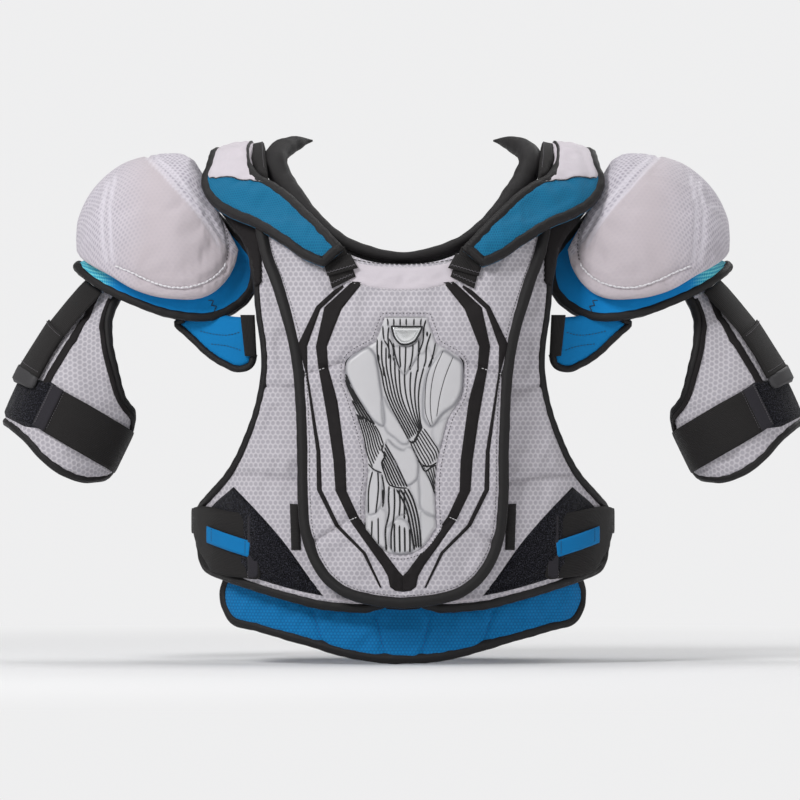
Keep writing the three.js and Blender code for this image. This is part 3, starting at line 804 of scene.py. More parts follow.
def make_materials():
    fabric_mesh("mesh_grey", (201, 197, 203), (171, 167, 175), 5.1, 0.26, 0.50)
    fabric_mesh("mesh_fine", (214, 210, 216), (184, 180, 190), 3.1, 0.16, 0.42, depth=0.0005)
    fabric_mesh("mesh_blue", (0, 104, 164), (0, 124, 188), 3.4, 0.22, 0.48, sheen=0.02)
    fabric_mesh("mesh_teal", (10, 112, 152), (6, 94, 134), 2.4, 0.20, 0.46, sheen=0.05, depth=0.0004)
    # smooth knit: liners, light grey bands
    for name, c, e in (("knit_blue", (0, 120, 184), 0.02), ("knit_grey", (204, 197, 204), 0.2), ("pull_blue", (0, 116, 178), 0.02), ("cyan_net", (60, 190, 220), 0.1)):
        s = Shader(name)
        f = s.noise(1.6, 3.0, 0.6)
        g = s.noise(0.05, 2.0, 0.5)
        k = s.math("ADD", s.math("MULTIPLY", s.math("SUBTRACT", f, 0.5), 0.16), s.math("ADD", s.math("MULTIPLY", s.math("SUBTRACT", g, 0.5), 0.12), 1.0))
        s.set(Base_Color=s.vec("SCALE", s.combine(*lin(*c)[:3]), scale=k), Roughness=0.8, Sheen_Weight=e, Specular_IOR_Level=0.25)
        s.bump(s.math("ADD", s.math("MULTIPLY", weave(s, 0.8), 0.3), f), 0.4, 0.0003)
    # black textiles
    for name, c, rough, spec, wv, dist in (
        ("binding", (21, 19, 20), 0.5, 0.32, 0.8, 0.00025),
        ("roll_black", (30, 28, 29), 0.6, 0.28, 1.1, 0.0003),
        ("stripe_black", (30, 27, 28), 0.72, 0.2, 0.9, 0.0003),
        ("lining", (26, 26, 28), 0.9, 0.15, 1.4, 0.0004),
    ):
        s = Shader(name)
        f = s.noise(1.3, 3.0, 0.6)
        g = s.noise(0.09, 2.0, 0.5)
        k = s.math("ADD", s.math("MULTIPLY", s.math("SUBTRACT", f, 0.5), 0.7), s.math("ADD", s.math("MULTIPLY", s.math("SUBTRACT", g, 0.5), 0.5), 1.0))
        s.set(Base_Color=s.vec("SCALE", s.combine(*lin(*c)[:3]), scale=k), Roughness=s.math("ADD", rough - 0.06, s.math("MULTIPLY", g, 0.12)), Sheen_Weight=0.04, Sheen_Roughness=0.45, Specular_IOR_Level=spec)
        s.bump(s.math("ADD", s.math("MULTIPLY", weave(s, wv), 0.45), s.math("ADD", s.math("MULTIPLY", f, 0.5), s.math("MULTIPLY", g, 2.2))), 0.55, dist)
    # ribbed elastic webbing
    s = Shader("webbing")
    x = s.xyz(s.fab)
    rib = s.math("SINE", s.math("MULTIPLY", x[1], 2 * math.pi / 1.5))
    cross = s.math("SINE", s.math("MULTIPLY", x[0], 2 * math.pi / 0.9))
    f = s.noise(1.2, 3.0, 0.6)
    k = s.math("ADD", s.math("MULTIPLY", rib, 0.10), s.math("ADD", s.math("MULTIPLY", s.math("SUBTRACT", f, 0.5), 0.5), 1.0))
    s.set(Base_Color=s.vec("SCALE", s.combine(*lin(30, 28, 28)[:3]), scale=k), Roughness=0.72, Sheen_Weight=0.05, Specular_IOR_Level=0.25)
    s.bump(s.math("ADD", s.math("MULTIPLY", rib, 0.8), s.math("ADD", s.math("MULTIPLY", cross, 0.25), s.math("MULTIPLY", f, 0.6))), 0.6, 0.0003)
    # brushed loop pile
    s = Shader("loop")
    f = s.noise(0.9, 5.0, 0.7, dist=0.6)
    g = s.noise(0.22, 3.0, 0.6)
    k = s.math("ADD", s.math("MULTIPLY", s.ramp(f, 0.46, 0.70), 12.0), s.math("MULTIPLY", g, 0.8))
    s.set(Base_Color=s.vec("SCALE", s.combine(*lin(17, 17, 21)[:3]), scale=k), Roughness=0.95, Sheen_Weight=0.15, Sheen_Roughness=0.35, Specular_IOR_Level=0.1)
    s.bump(s.math("ADD", f, s.math("MULTIPLY", g, 1.2)), 1.0, 0.0012)
    # moulded light grey, with painted shade mixed in along the grooves between its cells
    s = Shader("moulded")
    g = s.object_noise(40, 2)
    # painted shade: the groove attribute mixes the grey to a darker blue-grey along the cell outlines, as if the
    # grooves lay in shadow
    gr = s.attr("groove_shade")
    s.set(Base_Color=s.mix(gr, s.mix(g, lin(193, 192, 195), lin(201, 200, 203)), lin(144, 144, 149)), Roughness=s.math("ADD", 0.34, s.math("MULTIPLY", g, 0.1)), Specular_IOR_Level=0.45, Coat_Weight=0.12, Coat_Roughness=0.3)
    s.bump(s.object_noise(900, 2), 0.12, 0.0002)
    s = Shader("ink")
    s.set(Base_Color=s.mix(s.object_noise(60, 2), lin(26, 26, 28), lin(36, 36, 38)), Roughness=0.5, Specular_IOR_Level=0.3)
    s = Shader("plate")
    s.set(Base_Color=s.mix(s.object_noise(30, 3), lin(52, 54, 57), lin(64, 66, 69)), Roughness=0.48)
    s.bump(s.object_noise(700, 3), 0.25, 0.0003)
    s = Shader("badge")
    g = s.object_noise(90, 2)
    s.set(Base_Color=s.mix(g, lin(222, 224, 226), lin(238, 238, 238)), Metallic=0.75, Roughness=s.math("ADD", 0.2, s.math("MULTIPLY", g, 0.14)))
    for name, c in (("thread_white", (244, 242, 246)), ("thread_black", (22, 21, 22)), ("thread_grey", (104, 100, 106)), ("thread_blue", (0, 92, 168))):
        s = Shader(name)
        x = s.xyz(s.fab)
        tw = s.math("SINE", s.math("MULTIPLY", s.math("ADD", x[0], x[1]), 2 * math.pi / 0.5))
        s.set(Base_Color=s.mix(s.noise(2.0), lin(*c), lin(*[v * 0.86 for v in c])), Roughness=0.6, Sheen_Weight=0.15)
        s.bump(tw, 0.4, 0.0001)
    s = Shader("cap_cloth")
    zone, pale = s.attr("zone"), s.attr("pale")
    d = s.hexcell(4.3)
    mask = s.math("MULTIPLY", s.ramp(d, 0.18, 0.42, 1.0, 0.0), zone)
    f, g = s.noise(2.6, 4.0, 0.7), s.noise(0.04, 2.0, 0.5)
    col = s.mix(mask, s.mix(zone, lin(194, 184, 189), lin(204, 199, 208)), lin(168, 162, 174))
    col = s.mix(s.math("MULTIPLY", pale, 0.75), col, lin(222, 217, 226))
    k = s.math("ADD", s.math("MULTIPLY", s.math("SUBTRACT", f, 0.5), 0.22), s.math("ADD", s.math("MULTIPLY", s.math("SUBTRACT", g, 0.5), 0.10), 1.0))
    s.set(Base_Color=s.vec("SCALE", col, scale=k), Roughness=s.math("SUBTRACT", 0.82, s.math("MULTIPLY", pale, 0.2)), Sheen_Weight=0.25, Sheen_Roughness=0.5, Specular_IOR_Level=0.3)
    s.bump(s.math("ADD", s.math("SUBTRACT", s.math("MULTIPLY", weave(s, 0.9), 0.2), s.math("MULTIPLY", mask, 0.8)), s.math("MULTIPLY", f, 0.5)), 0.55, 0.0006)
    s = Shader("liner_cloth")
    net = s.attr("net")
    f, g = s.noise(1.6, 3.0, 0.6), s.noise(0.05, 2.0, 0.5)
    x = s.xyz(s.fab)
    zz = s.math("SINE", s.math("ADD", s.math("MULTIPLY", x[0], 2.2), s.math("MULTIPLY", s.math("PINGPONG", x[1], 1.6), 2.4)))
    base = s.mix(net, lin(0, 128, 198), s.mix(s.ramp(zz, -0.2, 0.6), lin(8, 150, 190), lin(130, 228, 232)))
    k = s.math("ADD", s.math("MULTIPLY", s.math("SUBTRACT", f, 0.5), 0.2), s.math("ADD", s.math("MULTIPLY", s.math("SUBTRACT", g, 0.5), 0.15), 1.0))
    s.set(Base_Color=s.vec("SCALE", base, scale=k), Roughness=0.82, Sheen_Weight=0.12, Specular_IOR_Level=0.22)
    s.bump(s.math("ADD", s.math("MULTIPLY", weave(s, 0.8), 0.3), s.math("ADD", f, s.math("MULTIPLY", s.math("MULTIPLY", zz, net), 0.5))), 0.45, 0.0004)
    s = Shader("moulded_dark")
    g = s.object_noise(40, 2)
    s.set(Base_Color=s.mix(g, lin(60, 62, 66), lin(74, 76, 80)), Roughness=s.math("ADD", 0.42, s.math("MULTIPLY", g, 0.1)))
    s.bump(s.object_noise(900, 3), 0.3, 0.0003)
    s = Shader("rubber")
    g = s.noise(0.5, 3.0)
    s.set(Base_Color=s.mix(g, lin(52, 51, 53), lin(66, 65, 67)), Roughness=0.6, Specular_IOR_Level=0.35)
    s.bump(s.noise(1.8, 3.0), 0.3, 0.0003)
    s = Shader("hook")
    d = s.hexcell(1.3)
    g = s.noise(0.9, 3.0)
    s.set(Base_Color=s.mix(g, lin(34, 32, 37), lin(52, 50, 56)), Roughness=0.85, Specular_IOR_Level=0.2, Sheen_Weight=0.1)
    s.bump(s.math("SUBTRACT", 1.0, d), 0.7, 0.0006)
    s = Shader("elastic")
    x = s.xyz(s.fab)
    rib = s.math("SINE", s.math("MULTIPLY", x[1], 2 * math.pi / 2.6))
    cr = s.math("SINE", s.math("MULTIPLY", x[0], 2 * math.pi / 1.1))
    f = s.noise(1.2, 3.0)
    s.set(Base_Color=s.vec("SCALE", s.combine(*lin(30, 28, 28)[:3]), scale=s.math("ADD", 0.85, s.math("MULTIPLY", f, 0.35))), Roughness=0.75, Sheen_Weight=0.12, Specular_IOR_Level=0.22)
    s.bump(s.math("ADD", s.math("MULTIPLY", rib, 1.0), s.math("MULTIPLY", cr, 0.5)), 0.7, 0.0004)
    s = Shader("floor")
    s.set(Base_Color=lin(240, 240, 241), Roughness=0.7, Specular_IOR_Level=0.1)
    # the floor melts into the backdrop away from the object
    c = s.t.nodes.new("ShaderNodeTexCoord")
    dist = s.vec("LENGTH", s.vec("MULTIPLY", c.outputs["Object"], (1, 1, 0)))
    em = s.t.nodes.new("ShaderNodeEmission")
    em.inputs[0].default_value = (0.86, 0.86, 0.865, 1)
    mx = s.t.nodes.new("ShaderNodeMixShader")
    s.put(mx.inputs[0], s.ramp(dist, 0.45, 1.5))
    s.t.links.new(s.p.outputs[0], mx.inputs[1])
    s.t.links.new(em.outputs[0], mx.inputs[2])
    s.t.links.new(mx.outputs[0], s.out.inputs[0])
    s.bump(s.noise(40.0, 2.0), 0.05, 0.0002)


make_materials()

# ------------------------------------------------------------------ outlines (sheet units, wearer's right half)
ARMHOLE = [(200, 508), (212, 497), (228, 479), (240, 460), (249, 440), (257, 415), (263, 390), (266, 365), (265, 345), (261, 318), (258, 290), (256.5, 262), (252, 240), (245, 221), (238, 205)]
CHEST = [(396, 272), (396, 598), (386, 602), (370, 607), (347, 607), (323, 604.5), (299, 599), (275, 592.5), (251, 585), (227, 577.5), (208, 570), (200, 545)] + ARMHOLE + [(250, 190), (267, 192), (279, 207), (297, 227), (320, 246), (346, 260), (372, 269)]
STERNUM = both_halves([(406, 265), (372, 262), (350, 254), (326, 240), (306, 222), (262, 222), (265, 250), (278, 288), (291, 330), (299, 375), (301, 401), (302.5, 440), (303.5, 500), (307, 535), (316, 561), (330, 581), (347, 593.5), (372, 601), (399, 604.5), (406, 605)])
INSERT = [(387, 317), (431, 317), (440, 343), (466, 362), (467, 379), (465, 395), (452, 419), (445, 445), (440, 471), (440, 527), (423, 549), (407, 554.5), (390, 552), (368, 529), (367, 499), (370, 469), (361, 423), (347, 380), (349, 362), (378, 341)]


def panel_face(u, v=None):
    return lerp(14.0, 8.0, sstep(150, 190, np.abs(u - U0)))


def stern_face(u, v):
    return lerp(24.0, 31.0, sstep(262, 330, v))


def stern_level(u, v, d=None):
    return stern_face(u, v)


# ------------------------------------------------------------------ chest panels
chest_line = spline(CHEST, True, 3.0, sharp=(0, 1, 11))
seam_a = spline([(241, 474.5), (262, 476), (300, 480)], False, 3.0)
seam_b = spline([(272, 386), (285, 388), (304, 389)], False, 3.0)
chest = Pad(chest_line, 2.0, lambda u, v: panel_face(u) + 1.0, FRONT, R=12, edge=0.5, seams=[(seam_a, 3.6, 2.4), (seam_b, 3.0, 2.4)], crown=1.6)
chest.simulate(3.6, pressure=3.0, grow=0.05, cap=4.0)
chest.build("chest_panel", "mesh_grey", "chest", 3.4, "chest_panel_*", "mesh_grey")
edge_path = spline([(396, 597), (386, 601), (372, 605.5), (347, 605), (323, 602.5), (299, 596.5), (275, 590), (251, 582.5), (228, 575), (210.5, 567), (204, 549), (203.5, 509)] + [(u + 2.5, v - 1.5) for u, v in ARMHOLE[1:5]] + [(u + 3.2, v) for u, v in ARMHOLE[5:10]] + [(261.6, 290), (261.4, 276), (260.5, 262), (256, 240), (250, 221), (243, 205)], False, 3.0)
bind_h = lambda u, v: 2.0 + (panel_face(u) - 1.0) * 0.5
edge_a = 4.2 + 1.1 * sstep(535, 565, edge_path[:, 1]) + 3.2 * sstep(292, 262, edge_path[:, 1])
V, F, G = band(edge_path, FRONT, bind_h, edge_a, 6.9, wob=0.05, k=16)
emit("chest_binding", V, F, "binding", "chest", fab=G)
# black pad round the top of the armhole: partly the wide black binding there, partly painted shade that stands for the
# collar guard's shadow over the gap behind it
armhole_dark_outline = [(220, 208), (238, 203), (262, 212), (266, 248), (267.5, 270), (265, 286), (257, 289), (253, 262), (245, 241), (233, 225)]
Pad(spline(armhole_dark_outline, True, 3.0, sharp=(0, 1, 2, 6)), 0.5, lambda u, v: panel_face(u) + 3.4, FRONT, R=2.5, edge=0.45).build("armhole_binding_and_shade", "stripe_black", "chest", 3.0)
# pale piping just inside the hem binding
pipe = spline([(372, 599.5), (347, 599.0), (323, 596.2), (299, 590.3), (275, 583.8), (251, 576.3), (229, 568.8), (214, 562), (210, 552)], False, 3.0)
V, F, G = band(pipe, FRONT, lambda u, v: panel_face(u) * 0.95, 1.3, 1.5, wob=0.05, k=8)
emit("hem_piping", V, F, "knit_grey", "chest", fab=G)

lining = Pad(spline(both_halves([(406, 260), (373, 257), (346, 248), (325, 233), (302, 300), (298, 420), (304, 556), (330, 586), (406, 591)]), True, 6.0), -1.0, 1.4, FRONT, R=3)
lining.build("front_lining", "lining", "chest", 9.0, "front_lining", "lining_black", pair=False)

# ------------------------------------------------------------------ sternum pad
stern_line = spline(STERNUM, True, 3.0, sharp=())
insert_line = spline(INSERT, True, 1.6, sharp=(0, 1, 2, 9, 13, 17, 19))
arc_line = spline([(346, 280), (357, 283), (380, 288.5), (406, 290), (432, 288.5), (452, 283), (466, 280)], False, 3.0)
q1 = spline([(306, 375), (312, 373), (347, 362)], False, 3.0)
q2 = spline([(307, 548), (318, 540), (341, 526), (357, 517), (366, 524)], False, 3.0)
seams = [(arc_line, 0.9, 1.4)]
for q, dep in ((q1, 3.0), (q2, 3.2)):
    seams += [(q, dep, 2.0), (mirror_uv(q), dep, 2.0)]


def stern_bump(u, v, d):
    P = np.stack([u, v], -1)
    di = seg_dist(P, insert_line, True) * UNIT
    ins = inside(P, insert_line)
    sd = np.where(ins, di, -di)
    low = -4.0 * sstep(-1.2, 2.6, sd)
    return low - 0.5 * np.exp(-((sd + 4.5) ** 2) / 3.0)


stern = Pad(stern_line, 20.8, lambda u, v: stern_face(u, v) - 1.0, FRONT, R=15, edge=0.42, seams=seams, crown=2.2, bump=stern_bump)


def stern_pin(u, v):
    P = np.stack([u, v], -1)
    di = seg_dist(P, insert_line, True) * UNIT
    return np.maximum(inside(P, insert_line) * 1.0, 1 - sstep(2.5, 5.5, di))


stern.even = True
stern.simulate(3.6, pin_fn=stern_pin, pressure=3.0, grow=0.045, cap=3.6)
stern.build("sternum_pad", "mesh_grey", "sternum", 3.0, "sternum_pad", "mesh_grey", pair=False)
foam_line = spline(A(406, 430) + (np.array(STERNUM) - A(406, 430)) * A(0.955, 0.96), True, 5.0)
Pad(foam_line, 15.0, 18.3, FRONT, R=4).build("sternum_foam", "lining", "sternum", 7.0, "sternum_foam", "lining_black", pair=False)
visible = stern_line[(stern_line[:, 1] > 226) | (np.abs(stern_line[:, 0] - U0) > 200)]
# binding: from the left shoulder round the bottom to the right shoulder
k0 = np.argmin(np.linalg.norm(stern_line - A(262, 222), axis=1))
k1 = np.argmin(np.linalg.norm(stern_line - A(550, 222), axis=1))
order = [(k0 + i) % len(stern_line) for i in range((k1 - k0) % len(stern_line) + 1)]
bpath = offset_in(stern_line, 3.8)[order]
V, F, G = band(bpath, FRONT, lambda u, v: stern_face(u, v) * 0.5 + 11.6, 5.5, 5.0, wob=0.05, k=18)
emit("sternum_binding", V, F, "binding", "sternum", fab=G, pair=False)
C, N = path_on(FRONT, resample(offset_in(stern_line, 10.6)[order], 2.4), lambda u, v: stern.top(u, v) + 0.25)
V, F, G = stitch_geo(C, N, 2.0, 1.2, 0.26)
emit("sternum_edge_stitch", V, F, "thread_black", "sternum", fab=G, pair=False)


# overlays on the sternum pad: thin bands that follow its crowned face
def overlay(name, pts, mat, body, host, sharp="all", up=0.75, step=2.2, pair=True, thick=2.4, slot=None, node=None, R=0.8):
    line = spline(pts, True, step, sharp=sharp)
    p = Pad(line, lambda u, v: host.top(u, v) - thick + up, lambda u, v: host.top(u, v) + up, host.surf, R=R, edge=0.88, unit=host.unit)
    p.build(name, mat, body, step * 1.25, node, slot, pair)
    return p


inner_out = [(356, 282), (328, 308), (319.5, 347), (322, 368), (331, 419), (337, 460), (339, 490), (353, 519), (385.5, 565), (391, 575), (393, 585), (398, 589)]
inner_in = [(406, 590), (406, 574), (402, 570), (362, 516), (350, 490), (349, 460), (341, 401), (332, 368), (330.5, 347), (345, 310), (366, 283.5)]
overlay("stripe_inner", inner_out + inner_in, "stripe_black", "sternum", stern)
outer_out = [(346, 286), (337.5, 291), (320, 307), (301.5, 345), (309.5, 373), (320, 451), (320.5, 489), (338.5, 525), (366, 552), (383, 586)]
outer_in = [(385, 586), (369, 551), (342.5, 524), (325.5, 489), (324, 451), (311.2, 372), (310.8, 347), (324, 310), (340, 295), (347.5, 288)]
overlay("stripe_outer", outer_out + outer_in, "stripe_black", "sternum", stern)
# plain band under the neckline, with its stitch arc
neck_band = [(352, 262), (372, 266), (406, 268.5), (440, 266), (460, 262), (466, 281), (452, 284.5), (432, 289.5), (406, 291), (380, 289.5), (360, 284.5), (346, 281)]
overlay("neck_band", neck_band, "knit_grey", "sternum", stern, sharp=(0, 4, 5, 11), up=0.5, pair=False)


def thread(name, pts, host, mat, body, pair=True, length=2.6, gap=1.2, r=0.32, zig=0.0, up=0.5, smooth=True, step=2.0, surf=None):
    line = spline(pts, False, step, sharp=() if smooth else "all")
    hh = (lambda u, v: host.top(u, v) + up) if host is not None else up
    C, N = path_on(surf or host.surf, line, hh)
    V, F, G = stitch_geo(C, N, length, gap, r, zig=zig)
    emit(name, V, F, mat, body, fab=G, pair=pair)


thread("neck_arc_stitch", [(347, 281), (357, 284), (380, 289.2), (406, 290.6)], stern, "thread_white", "sternum", length=2.2, gap=1.0, r=0.3)
thread("neck_lace", [(352, 259.5), (372, 263.2), (392, 265.0), (406, 265.4)], stern, "thread_black", "sternum", length=3.2, gap=1.2, r=0.4, up=1.0)
for nm, a, b in (("q1", (322, 370.4), (331, 367.4)), ("q1b", (307.5, 374.6), (312, 372.8))):
    thread("stripe_stitch_" + nm, [a, b], stern, "thread_white", "sternum", length=2.6, gap=0.7, r=0.42, up=1.35)
for nm, a, b in (("q2", (352, 519.6), (360, 516.2)), ("q2b", (338, 528), (342.5, 525.0))):
    thread("stripe_stitch_" + nm, [a, b], stern, "thread_white", "sternum", length=2.4, gap=0.7, r=0.42, up=1.4)
# dotted stitch round the insert
ring = offset_in(insert_line, -3.0)
ring = np.vstack([ring, ring[:1]])
C, N = path_on(FRONT, ring, lambda u, v: stern.top(u, v) + 0.1)
V, F, G = stitch_geo(C, N, 1.5, 1.7, 0.36)
emit("insert_stitch", V, F, "thread_black", "sternum", fab=G, pair=False)

# ------------------------------------------------------------------ keepers, waist closure
keep = Pad(spline([(293.5, 503), (303.5, 503.5), (304.5, 549), (295, 549)], True, 2.5, sharp="all"), lambda u, v: chest.top(u, v) + 0.1, lambda u, v: chest.top(u, v) + 2.0, FRONT, R=1.2, edge=0.4)
keep.build("sternum_keeper", "webbing", "chest", 3.0, "sternum_keeper_*", "black_webbing")
patch = Pad(spline([(237, 486.5), (262, 512), (289, 543), (309, 571), (326.5, 594.6), (299, 588.8), (275, 582.3), (251, 574.8), (234, 568.6), (216, 561), (211, 552), (208, 537), (211, 513)], True, 3.0, sharp=(0, 4)), lambda u, v: chest.top(u, v) - 0.4, lambda u, v: chest.top(u, v) + 1.3, FRONT, R=1.4, edge=0.3)
patch.build("waist_loop_patch", "loop", "chest", 2.6, "waist_loop_patch_*", "loop_pile")


# ------------------------------------------------------------------ neck roll
NECK = [(314.5, 138.4, 1.0, 1.0, 19), (307, 139.4, 3.8, 3.5, 13), (299.5, 141.2, 7.4, 6.6, 3), (290, 145, 10.4, 9.0, -8), (281, 151.5, 12.0, 10.0, -24), (278, 163, 11.8, 9.9, -42), (285, 179, 10.8, 9.8, None), (297, 195, 9.4, 9.2, None), (310, 211.5, 8.0, 8.7, None), (326.3, 227.8, 6.9, 8.2, None), (347.3, 243.0, 5.9, 7.8, None), (373, 253.0, 5.4, 7.6, None), (406, 258.6, 4.9, 7.5, None)]


def neck_stations():
    rows = []
    for u, v, a, b, y in NECK:
        p = FRONT(A(u), A(v), 12.0)[0] if y is None else A((u - U0) * UNIT, y, (VH - v) * UNIT)
        rows.append([p[0], p[1], p[2], a, b])
    half = np.array(rows)
    back = half[:-1][::-1].copy()
    back[:, 0] *= -1
    return spline(np.vstack([half, back]), False, 3.0)


st = neck_stations()
C = st[:, :3]
# the roll faces outwards and forwards
out = C - A(0, 20, 330)
out[:, 0] *= 0.6
V, F, G = tube_geo(C, out, st[:, 3], st[:, 4], False, 22, 0.045, 2.1)
emit("neck_roll_front", V, F, "roll_black", "chest", "neck_roll_front", "black_trim", fab=G, pair=False)

# ------------------------------------------------------------------ collar guards
KQ = 2.39  # sheet units per degree over the shoulder


class OverQ:
    def __call__(self, u, q, h):
        return OVER(u, np.asarray(q, float) / KQ, h)

    def fab(self, u, q):
        return np.stack([u, -q, 0 * q], -1)


OQ = OverQ()


def to_q(pts, h):
    P = np.array(pts, float)
    return np.stack([P[:, 0], angle_of(P[:, 0], P[:, 1], h) * KQ], -1)


GUARD_FRONT_OUT = [(327, 267), (311, 260.5), (286, 243.5), (258, 224.5), (231, 211), (218, 202), (208.5, 189), (205.5, 177), (209.5, 165)]
GUARD_FRONT_IN = [(253.5, 146), (254.5, 158), (259, 170), (281, 184), (298, 198), (312.5, 213), (330, 232), (346.5, 250)]
go = to_q(GUARD_FRONT_OUT, 34)
gi = to_q(GUARD_FRONT_IN, 34)
guard_pts = np.vstack([go, [[215, 86 * KQ], [221, 99 * KQ], [238, 106 * KQ], [253, 99 * KQ]], gi])
guard_line = spline(guard_pts, True, 2.6, sharp=(0, len(guard_pts) - 1))
GH = lambda u, q: 25.0 + 4.0 * sstep(40 * KQ, 25 * KQ, q)
guard = Pad(guard_line, GH, lambda u, q: GH(u, q) + 9.0, OQ, R=11, edge=0.45, crown=1.0)
guard.simulate(3.2, pressure=3.0, grow=0.05, cap=3.0)
guard.build("collar_guard", "mesh_teal", "collar_*", 3.0, "collar_guard_*", "blue_mesh")
gb = offset_in(guard_line, 3.4)
# the binding runs out where the pale top meets the strap beside the neck
gq = to_q([(257, 168)], 34)[0, 1]
ga_ = 5.0 - 3.2 * sstep(240, 247, gb[:, 0]) * sstep(gq, gq + 14, gb[:, 1])
for k in range(4):
    ga_ = (np.roll(ga_, 1) + ga_ + np.roll(ga_, -1)) / 3
V, F, G = band(gb, OQ, lambda u, q: GH(u, q) + 4.6, ga_, 5.0, True, 0.0, 16, 0.05)
emit("collar_guard_binding", V, F, "binding", "collar_*", fab=G)
line = to_q([(213, 178), (247, 180.5), (280, 184.8)], 34)
top_line = spline(np.vstack([line, to_q([(259, 170), (254.8, 157)], 34), [[253.4, 97 * KQ], [238, 103 * KQ], [221, 97 * KQ], [215.5, 86 * KQ]], to_q([(212.5, 165), (211, 175)], 34)]), True, 2.6, sharp=(0, 2))
gtop = Pad(top_line, lambda u, q: guard.top(u, q) - 0.9, lambda u, q: guard.top(u, q) + 0.75, OQ, R=0.8, edge=0.9)
gtop.build("collar_guard_top", "knit_grey", "collar_*", 3.0)
# strap end sewn on beside the neck
te = np.vstack([to_q([(254, 158), (260, 173), (272, 180), (270, 162)], 31), [[267, 88 * KQ], [266, 98 * KQ], [253, 98 * KQ], [253, 88 * KQ]]])
Pad(spline(te, True, 2.4, sharp="all"), 22.0, 31.5, OQ, R=1.8, edge=0.4).build("collar_strap_end", "webbing", "chest", 2.4)
te = np.vstack([to_q([(267, 168), (266, 160)], 31), [[264, 88 * KQ]]])
C, N = path_on(OQ, spline(te, False, 2.0), 31.7)
V, F, G = stitch_geo(C, N, 1.8, 1.0, 0.26)
emit("strap_end_stitch", V, F, "thread_grey", "chest", fab=G)
C, N = path_on(OQ, spline(line, False, 2.0), lambda u, q: guard.top(u, q) + 0.65)
V, F, G = tube_geo(C, N, 0.55, 0.4, False, 6, 0.1)
emit("collar_guard_seam", V, F, "thread_black", "collar_*", fab=G)


# ------------------------------------------------------------------ straps: a thin band between two edge paths
def strap(name, edge_a, edge_b, surf, h, thick, mat, body, node=None, slot=None, pair=True, n=6, blend=None, step=2.5, sag=0.0):
    a, b = resample(np.array(edge_a, float), step), resample(np.array(edge_b, float), step)
    m = max(len(a), len(b))
    ta = np.linspace(0, 1, m)
    pick = lambda P: np.stack([np.interp(ta, np.linspace(0, 1, len(P)), P[:, k]) for k in range(P.shape[1])], -1)
    a, b = pick(a), pick(b)
    t = np.linspace(0, 1, n)[None, :, None]
    uv = a[:, None] * (1 - t) + b[:, None] * t
    hh = h(uv[..., 0].ravel(), uv[..., 1].ravel()) if callable(h) else np.zeros(uv[..., 0].size) + h
    hh = hh.reshape(uv.shape[:2])
    P = surf(uv[..., 0], uv[..., 1], hh)
    N = surf(uv[..., 0], uv[..., 1], hh + 1.0) - P
    N /= np.linalg.norm(N, axis=-1)[..., None]
    th = thick * (1 - 0.45 * np.abs(np.linspace(-1, 1, n)) ** 8)[None, :, None] * np.ones((m, 1, 1))
    V, F = sheet_geo((P, N), th)
    L = np.concatenate([[0], np.cumsum(np.linalg.norm(np.diff(P[:, n // 2], axis=0), axis=1))])
    W = np.linalg.norm(P[0, -1] - P[0, 0]) * np.linspace(0, 1, n)
    fab = np.stack([np.repeat(L[:, None], n, 1), np.repeat(W[None], m, 0), np.zeros((m, n))], -1).reshape(-1, 3)
    F = flip_if_inside_out(V, F)
    emit(name, V, F, mat, body, node, slot, np.vstack([fab, fab]), pair, blend)
    return P, N


strap("collar_strap", [(327, 259), (330, 268), (335.5, 289.5)], [(347.5, 247), (352, 257), (359, 277.5)], FRONT, lambda u, v: np.maximum(stern.top(u, v), 22) + 1.3, 2.2, "webbing", "sternum", "collar_strap_*", "black_webbing", n=9)
strap("collar_strap_fold", [(328, 267.5), (329.5, 272), (331, 277)], [(353.5, 254), (357, 261), (361.5, 269)], FRONT, lambda u, v: np.maximum(stern.top(u, v), 22) + 3.6, 2.4, "webbing", "sternum", n=9)
thread("collar_strap_stitch", [(333.5, 284.5), (357, 274.5)], stern, "thread_grey", "sternum", up=3.6, zig=0.9, length=1.6, r=0.28)
thread("collar_fold_stitch", [(329.5, 274), (359.5, 265.5)], stern, "thread_grey", "sternum", up=6.0, zig=0.7, length=1.6, r=0.26)


# ------------------------------------------------------------------ sternum insert: moulded cells and thin inlaid lines
def crop(*pts):
    """Insert layout on its own fine grid (7 to the pattern unit) to sheet units."""
    return [(335 + x / 7, 305 + y / 7) for x, y in pts]


